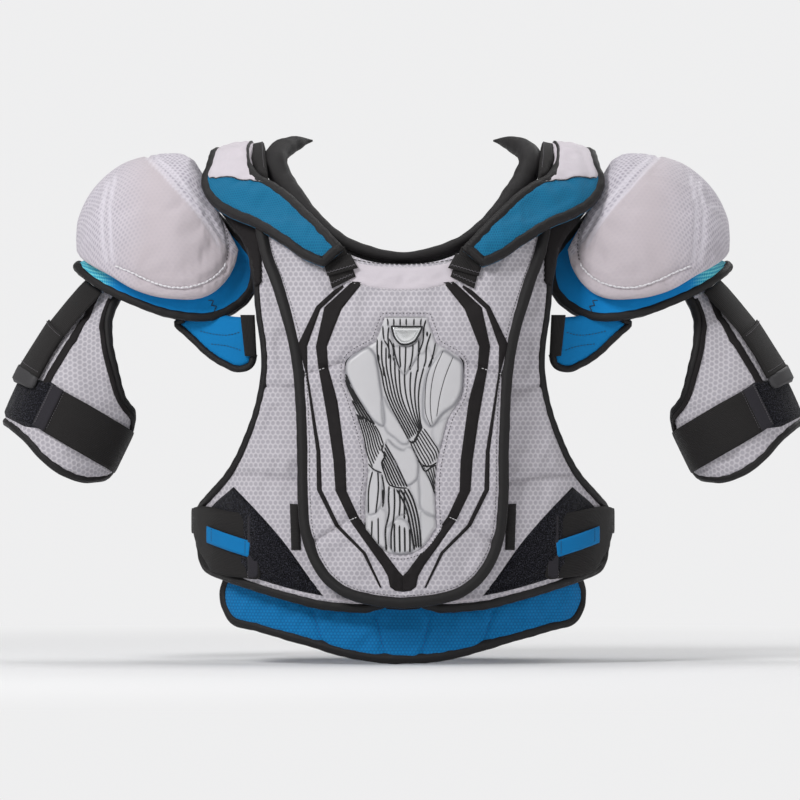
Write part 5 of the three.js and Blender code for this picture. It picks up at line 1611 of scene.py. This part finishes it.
ring = offset_in(arm_line, 8.2)
k0 = np.argmin(np.linalg.norm(ring - A(*arm_pt([(115, 298)], -4.0)[0]), axis=1))
k1 = np.argmin(np.linalg.norm(ring - A(deg_p(86), 6), axis=1))
tape("bicep_tape_inner", ring[k0 : k1 + 1] if k1 > k0 else ring[k1 : k0 + 1], arm, 5.0, "stripe_black", "bicep_*", up=0.6)
outer_tape = arm_pt([(101, 290), (91, 312), (79, 336), (66, 358), (52, 382), (44, 398)], 0.0)
tape("bicep_tape_outer", outer_tape, arm, 7.5, "stripe_black", "bicep_*", up=0.6)
Pad(spline(ap((-100, -38), (40, -38), (40, 40), (-100, 40)), True, 6.0, sharp="all"), -12.4, -10.4, ARM, R=1.0).build("bicep_plate", "plate", "bicep_*", 7.0, "bicep_plate_*", "plate_plastic")
loop_pts = ap((-125, -2), (-100, -4), (-78, -4)) + [tuple(q) for q in arm_pt([(25, 376), (38, 381), (54, 382), (60, 386), (48, 410), (44, 429), (28, 427)], 1.0)] + ap((-90, 45), (-125, 44))
loop = Pad(spline(loop_pts, True, 3.0, sharp="all"), lambda u, v: arm.top(u, v) - 0.4, lambda u, v: arm.top(u, v) + 1.6, ARM, R=1.4, edge=0.3)
loop.build("bicep_loop_patch", "loop", "bicep_*", 2.8, "bicep_loop_patch_*", "loop_pile")

# straps round the arm
ARM_S = lambda r0: Arm(lambda t: r0 + 0 * t)
sfr = Arm(lambda t: 61.2 + 0 * t)
strap_h = lambda p, t: 1.1 - 3.6 * sstep(deg_p(54), deg_p(84), p)
strap("bicep_strap", ap((-27, -5.5), (-15, -4.5), (10, -3), (40, 0), (70, 2.5), (87, 3.5)), ap((-27, 39.5), (-15, 41), (10, 43.5), (40, 46), (70, 48), (87, 48.5)), sfr, strap_h, 2.2, "webbing", "bicep_strap_*", "bicep_strap_*", "black_webbing", n=15)
strap("bicep_strap_hook", ap((-28, -6), (-22, -5.5), (-16, -5)), ap((-28, 39.2), (-22, 39.8), (-16, 40.6)), sfr, 2.9, 1.4, "hook", "bicep_strap_*", n=15, step=2.0)
for k, a in enumerate((-14.8, -26.5)):
    L = spline(ap((a, -5), (a, 37.5)), False, 2.0)
    C, N = path_on(sfr, L, 2.4 if k == 0 else 3.8)
    V, F, G = stitch_geo(C, N, 1.4, 1.1, 0.28)
    emit("strap_stitch_%d" % k, V, F, "thread_grey", "bicep_strap_*", fab=G)
sfb = Arm(lambda t: 55.5 + 0 * t)
strap("bicep_strap_back", ap((96, 3), (120, 3), (150, 3), (180, 3), (206, 3)), ap((96, 44), (120, 44), (150, 44), (180, 44), (206, 44)), sfb, 1.1, 2.2, "webbing", "bicep_*", "bicep_strap_back_*", "black_webbing", n=13, step=3.0)

# suspension strap down the outside of the arm, doubled over towards its end
hr = Arm(lambda t: np.interp(t, A(-120, -90, -60, -5), A(45.5, 52, 58.5, 64.5)))
h_out = ap((-72, -114), (-78, -104), (-84, -85), (-86, -60), (-87, -30), (-86, -8))
h_in = ap((-32, -110), (-34, -98), (-38, -80), (-41, -56), (-43, -30), (-42, -5))
strap("bicep_hanger", h_out, h_in, hr, 0.8, 2.0, "webbing", "bicep_*", "bicep_hanger_*", "black_webbing", n=13)
strap("hanger_fold", ap((-86, -62), (-87, -45), (-87, -30), (-86, -8)), ap((-41.5, -54), (-42.5, -42), (-43, -30), (-42, -5)), hr, 2.9, 2.0, "webbing", "bicep_*", n=13)
for nm, e0, e1 in (("a", (-86, -60), (-42, -52)), ("b", (-86, -13), (-42.5, -10))):
    C, N = path_on(hr, spline(ap(e0, e1), False, 2.0), 4.1)
    V, F, G = stitch_geo(C, N, 1.3, 1.1, 0.26)
    emit("hanger_stitch_" + nm, V, F, "thread_grey", "bicep_*", fab=G)
tip = Pad(spline(ap((-88, -10), (-43, -6.5), (-43.5, 6), (-60, 8.5), (-88, 5.5)), True, 2.2, sharp=(0, 1)), 0.4, 4.6, hr, R=1.8, edge=0.4)
tip.build("hanger_tip", "rubber", "bicep_*", 2.4)

# ------------------------------------------------------------------ waist closure


class Sheet:
    """Adapts a surface so its sheet units are close to pattern units: q = angle * k."""

    def __init__(self, base, k):
        self.base, self.k = base, k

    def __call__(self, q, v, h):
        return self.base(np.asarray(q, float) / self.k, v, h)

    def fab(self, q, v):
        return np.stack([q, -v, 0 * q], -1) * UNIT


def side_h(a):
    return lerp(8.0, 14.0, sstep(np.degrees(1.25), np.degrees(0.75), a))


def wa(u, h):
    """Angle round the waist of the front point at u."""
    x = (U0 - u) * UNIT
    return math.degrees(math.asin(min(1, (x / (HW + h)) ** (RN / 2))))


def wstrap(name, top, bot, h, thick, mat, body, **kw):
    """Edges as (angle, v) rows."""
    strap(name, top, bot, WAIST, h, thick, mat, body, **kw)


wa264, wa254, wa212, wa205 = wa(264, 18), wa(254, 17), wa(213, 14), wa(207, 13)
tab_h = lambda a, v: side_h(a) + 3.3
tt = [(wa254, 513.5), (lerp(wa254, wa212, 0.5), 510.5), (wa212, 507), (70, 506), (80.5, 508)]
tb = [(wa254, 578), (lerp(wa254, wa212, 0.5), 575.5), (wa212, 571), (66, 563), (73, 551), (80.5, 536)]
wstrap("waist_hook_tab", tt, tb, tab_h, 2.2, "webbing", "waist_tab_*", node="waist_hook_tab_*", slot="black_webbing", n=21, step=1.0)
wstrap("waist_tab_end", [(wa264, 525), (lerp(wa264, wa254, 0.35), 518), (wa254, 513)], [(wa264, 576), (lerp(wa264, wa254, 0.35), 578.6), (wa254, 578)], lambda a, v: side_h(a) + 4.2, 3.2, "webbing", "waist_tab_*", n=21, step=0.8)
wstrap("waist_tab_hook", [(wa264 + 0.4, 527), (lerp(wa264, wa254, 0.4), 519.5), (wa254, 515)], [(wa264 + 0.4, 574.5), (lerp(wa264, wa254, 0.4), 577), (wa254, 577)], lambda a, v: side_h(a) + 6.1, 0.8, "hook", "waist_tab_*", n=21, step=0.8)
C, N = path_on(WAIST, spline([(wa(252.5, 17), 514.5), (wa(252.5, 17), 577)], False, 2.0), lambda a, v: side_h(a) + 4.6)
V, F, G = stitch_geo(C, N, 1.4, 1.1, 0.3)
emit("waist_tab_stitch", V, F, "thread_grey", "waist_tab_*", fab=G)
wstrap("waist_pull_loop", [(wa(255.5, 18), 540.5), (wa(240, 17), 535.5), (wa(225, 15), 530.5), (wa(211, 14), 526)], [(wa(254, 18), 556.5), (wa(240, 17), 552), (wa(225, 15), 547), (wa(211, 14), 542.5)], lambda a, v: side_h(a) + 5.9, 1.5, "pull_blue", "waist_tab_*", node="waist_pull_loop_*", slot="blue_mesh", n=7, step=0.8)
for nm, u0, v0, v1 in (("a", 251.5, 540.2, 554.5), ("b", 214.5, 528.5, 542.0)):
    C, N = path_on(WAIST, spline([(wa(u0, 17), v0), (wa(u0, 17), v1)], False, 1.5), lambda a, v: side_h(a) + 6.8)
    V, F, G = stitch_geo(C, N, 1.2, 0.9, 0.26)
    emit("pull_stitch_" + nm, V, F, "thread_black", "waist_tab_*", fab=G)
# elastic from the tab round the side to the back panel
sa = np.degrees(np.linspace(1.33, 2.15, 11))
eh = lambda a, v: lerp(8.0, 14.0, sstep(np.degrees(1.9), np.degrees(2.4), a)) + lerp(0.9, 3.3, sstep(np.degrees(1.40), np.degrees(1.52), a))
p0, p1 = WAIST(A(np.degrees(1.43)), A(537.0), A(11.0))[0] * 0.001, WAIST(A(np.degrees(2.0)), A(537.0), A(11.0))[0] * 0.001
wstrap("side_elastic", [(a, 509) for a in sa], [(a, 534 + 28 * float(sstep(100.0, 122.0, a))) for a in sa], eh, 2.2, "elastic", "back", node="side_elastic_*", slot="black_webbing", n=17, step=1.2, blend=("chest", "back", tuple(p0), tuple(p1)))

# ------------------------------------------------------------------ belly and kidney pads
BELLY = both_halves([(406, 600.5), (370, 599.5), (330, 595), (295, 589), (255, 580.5), (231, 575), (225, 588), (228, 612), (234, 621), (260, 629), (310, 643), (350, 654.5), (385, 660), (406, 660.5)])


def low_pad(name, surf, body, node, lo=-10.0, hi=-3.0):
    line = spline(BELLY, True, 3.2, sharp=())
    s1 = spline([(378, 612), (388, 654)], False, 3.0)
    s2 = spline([(315, 608), (326, 641)], False, 3.0)
    s3 = spline([(236, 600), (300, 614), (406, 622)], False, 3.0)
    sm = [(s1, 1.6, 1.6), (mirror_uv(s1), 1.6, 1.6), (s2, 1.6, 1.6), (mirror_uv(s2), 1.6, 1.6)]
    p = Pad(line, lo, hi, surf, R=8, edge=0.42, seams=sm, crown=1.2)
    p.even = True
    p.simulate(3.8, pressure=3.0, grow=0.06, cap=3.4)
    p.build(name, "mesh_blue", body, 3.4, node, "blue_mesh", pair=False)
    V, F, G = band(offset_in(line, 3.2), surf, (lo + hi) / 2 + 0.2, 4.9, 5.2, True, 0.0, 16, 0.05)
    emit(name + "_binding", V, F, "binding", body, fab=G, pair=False)
    for k, sl in enumerate((s1, mirror_uv(s1), s2, mirror_uv(s2))):
        C, N = path_on(surf, sl[2:-2], lambda u, v: p.top(u, v) + 0.35)
        V, F, G = stitch_geo(C, N, 2.0, 1.2, 0.28)
        emit("%s_stitch_%d" % (name, k), V, F, "thread_blue", body, fab=G, pair=False)
    return p


belly = low_pad("belly_pad", FRONT, "belly", "belly_pad")
kidney = low_pad("kidney_pad", BACK, "kidney", "kidney_pad")

# ------------------------------------------------------------------ back
BACKP = [(405, 271), (405, 604), (330, 602), (295, 598), (255, 590), (226, 582), (207, 572), (200, 545), (200, 508)] + [(212, 497), (228, 479), (240, 460), (249, 440), (257, 415), (263, 390), (266, 365), (265, 345), (262, 318), (260, 290), (260, 255), (256, 225), (248, 204)] + [(256, 199), (270, 194), (281, 198), (296, 214), (313, 231), (332, 246), (353, 258), (378, 268)]
back_line = spline(BACKP, True, 3.2, sharp=(0, 1, 7))
bs = [(spline([(241, 474.5), (262, 476), (325, 482)], False, 3.0), 2.4, 2.2), (spline([(272, 386), (290, 388), (328, 392)], False, 3.0), 2.2, 2.2), (spline([(270, 302), (290, 306), (326, 318)], False, 3.0), 2.2, 2.2)]
backp = Pad(back_line, 2.0, lambda u, v: panel_face(u) + 1.0, BACK, R=12, edge=0.5, seams=bs, crown=1.6)
backp.simulate(4.2, pressure=3.0, grow=0.05, cap=4.0)
backp.build("back_panel", "mesh_grey", "back", 3.6, "back_panel_*", "mesh_grey")
bpath = spline([(398, 602), (330, 599.5), (295, 595.5), (255, 587.5), (228, 579.5), (210.5, 570), (203.5, 545), (203.5, 509), (214.5, 495.5), (230.5, 477.5), (242.5, 458.5), (251.5, 439), (260, 415), (266, 390), (269, 365), (268, 345), (265, 318), (263, 290), (263, 255), (259, 226), (253, 208)], False, 3.0)
V, F, G = band(bpath, BACK, bind_h, 4.1, 5.6, wob=0.05, k=16)
emit("back_binding", V, F, "binding", "back", fab=G)
Pad(spline(both_halves([(406, 268), (375, 265), (348, 253), (326, 240), (320, 300), (310, 420), (314, 556), (340, 586), (406, 590)]), True, 6.0), -1.0, 1.4, BACK, R=3).build("back_lining", "lining", "back", 9.0, "back_lining", "lining_black", pair=False)
SPINE = both_halves([(406, 287), (360, 285), (340, 300), (332, 350), (336, 430), (334, 500), (346, 559), (373, 588), (406, 594)])
spine_line = spline(SPINE, True, 3.0)
Pad(spline(A(406, 440) + (np.array(SPINE) - A(406, 440)) * A(0.95, 0.96), True, 5.0), 14.8, 18.0, BACK, R=3).build("spine_foam", "lining", "back", 7.0, "spine_foam", "lining_black", pair=False)
Pad(spline(A(406, 440) + (np.array(SPINE) - A(406, 440)) * A(0.8, 0.86), True, 5.0), 18.3, 20.3, BACK, R=1).build("spine_plate", "plate", "back", 8.0, "spine_plate", "plate_plastic", pair=False)
sseam = [(spline([(345, y + 4.5), (366, y), (446, y), (467, y + 4.5)], False, 3.0), 3.0, 2.4) for y in (352, 412, 472, 532)]
spine = Pad(spine_line, 20.6, 29.2, BACK, R=11, edge=0.42, seams=sseam, crown=1.0)
spine.even = True
spine.simulate(4.0, pressure=3.0, grow=0.05, cap=3.0)
spine.build("spine_pad", "mesh_grey", "back", 3.2, "spine_pad", "mesh_grey", pair=False)
V, F, G = band(offset_in(spine_line, 2.4), BACK, 21.5, 4.4, 6.6, True, 0.0, 16, 0.05)
emit("spine_binding", V, F, "binding", "back", fab=G, pair=False)
COVER = Flat(0.0, side=1)
cover_line = spline(both_halves([(406, 331), (380, 331), (370, 352), (373.5, 430), (370, 500), (385, 541), (406, 549)]), True, 2.4)


def cover_bump(u, v, d):
    z = 0 * u
    for y in (365, 395, 425, 455, 485, 515):
        z = z - 1.6 * np.exp(-(((v - y) / 1.7) ** 2)) * sstep(12, 7, np.abs(u - U0)) * sstep(0, 3, d)
    return z


Pad(cover_line, 142.5, 149.0, COVER, R=2.6, edge=0.35, bump=cover_bump).build("spine_cover", "moulded_dark", "back", 2.4, "spine_cover", "plate_plastic", pair=False)

# back neck roll
NB = [(287, 190, 1.6, 2.0), (289.5, 195.5, 3.6, 4.4), (294, 202.5, 4.4, 5.4), (308, 220, 4.8, 5.8), (326, 238, 4.6, 5.8), (348, 252, 4.4, 5.8), (375, 264, 4.2, 5.8), (406, 267, 4.2, 5.8)]
half = []
for u, v, a, b in NB:
    q = BACK(A(u), A(v), 10.0)[0]
    half.append([*q, a, b])
half = np.array(half)
other = half[:-1][::-1].copy()
other[:, 0] *= -1
st = spline(np.vstack([half, other]), False, 3.0)
out = st[:, :3] - A(0, -20, 330)
V, F, G = tube_geo(st[:, :3], out, st[:, 3], st[:, 4], False, 18, 0.04, 2.1)
emit("neck_roll_back", V, F, "roll_black", "back", "neck_roll_back", "black_trim", fab=G, pair=False)

# sternum plate
Pad(spline(A(406, 440) + (np.array(STERNUM) - A(406, 440)) * A(0.79, 0.83), True, 5.0), 18.5, 20.5, FRONT, R=1).build("sternum_plate", "plate", "sternum", 8.0, "sternum_plate", "plate_plastic", pair=False)


# ------------------------------------------------------------------ studio
AMBIENT = 0.30
BACKDROP = (0.86, 0.86, 0.865, 1)


def studio():
    V = [(-9000, -9000, -1), (9000, -9000, -1), (9000, 9000, -1), (-9000, 9000, -1)]
    fl = new_object("studio_floor", V, [(0, 1, 2, 3)], "floor")
    w = bpy.data.worlds.new("studio_world")
    bpy.context.scene.world = w
    w.use_nodes = True
    nt = w.node_tree
    nt.nodes.clear()
    out = nt.nodes.new("ShaderNodeOutputWorld")
    soft, seen, mix, ray = nt.nodes.new("ShaderNodeBackground"), nt.nodes.new("ShaderNodeBackground"), nt.nodes.new("ShaderNodeMixShader"), nt.nodes.new("ShaderNodeLightPath")
    soft.inputs[0].default_value, soft.inputs[1].default_value = (1, 1, 1, 1), AMBIENT
    seen.inputs[0].default_value, seen.inputs[1].default_value = BACKDROP, 1.0
    nt.links.new(ray.outputs["Is Camera Ray"], mix.inputs[0])
    nt.links.new(soft.outputs[0], mix.inputs[1])
    nt.links.new(seen.outputs[0], mix.inputs[2])
    nt.links.new(mix.outputs[0], out.inputs[0])

    def area(name, loc, size, power, target=(0, 0, 0.27)):
        d = bpy.data.lights.new(name, "AREA")
        d.shape, d.size, d.size_y, d.energy = "RECTANGLE", size[0], size[1], power
        o = bpy.data.objects.new(name, d)
        bpy.context.scene.collection.objects.link(o)
        o.location = loc
        o.rotation_mode = "QUATERNION"
        o.rotation_quaternion = (Vector(target) - Vector(loc)).to_track_quat("-Z", "Y")

    area("key_light", (-1.7, -1.9, 2.1), (0.9, 0.9), 58)
    area("fill_light", (1.9, -1.9, 0.9), (1.6, 1.6), 9)
    area("top_light", (0.1, 0.3, 2.4), (1.8, 1.2), 17)
    area("rim_light", (1.2, 1.4, 1.5), (1.0, 1.0), 10)
    cam = bpy.data.cameras.new("camera")
    o = bpy.data.objects.new("camera", cam)
    bpy.context.scene.collection.objects.link(o)
    bpy.context.scene.camera = o
    cam.sensor_width = 36
    dist = 9.0
    # 800 pattern units across the frame at the depth of the chest face
    cam.lens = 36 * (dist - 0.06) / 0.76
    o.location = (-0.00285, -dist, 0.2489)
    o.rotation_euler = (math.pi / 2, 0, 0)
    cam.clip_start, cam.clip_end = 0.1, 60
    bpy.context.scene.view_settings.view_transform = "Standard"
    bpy.context.scene.view_settings.look = "None"


studio()
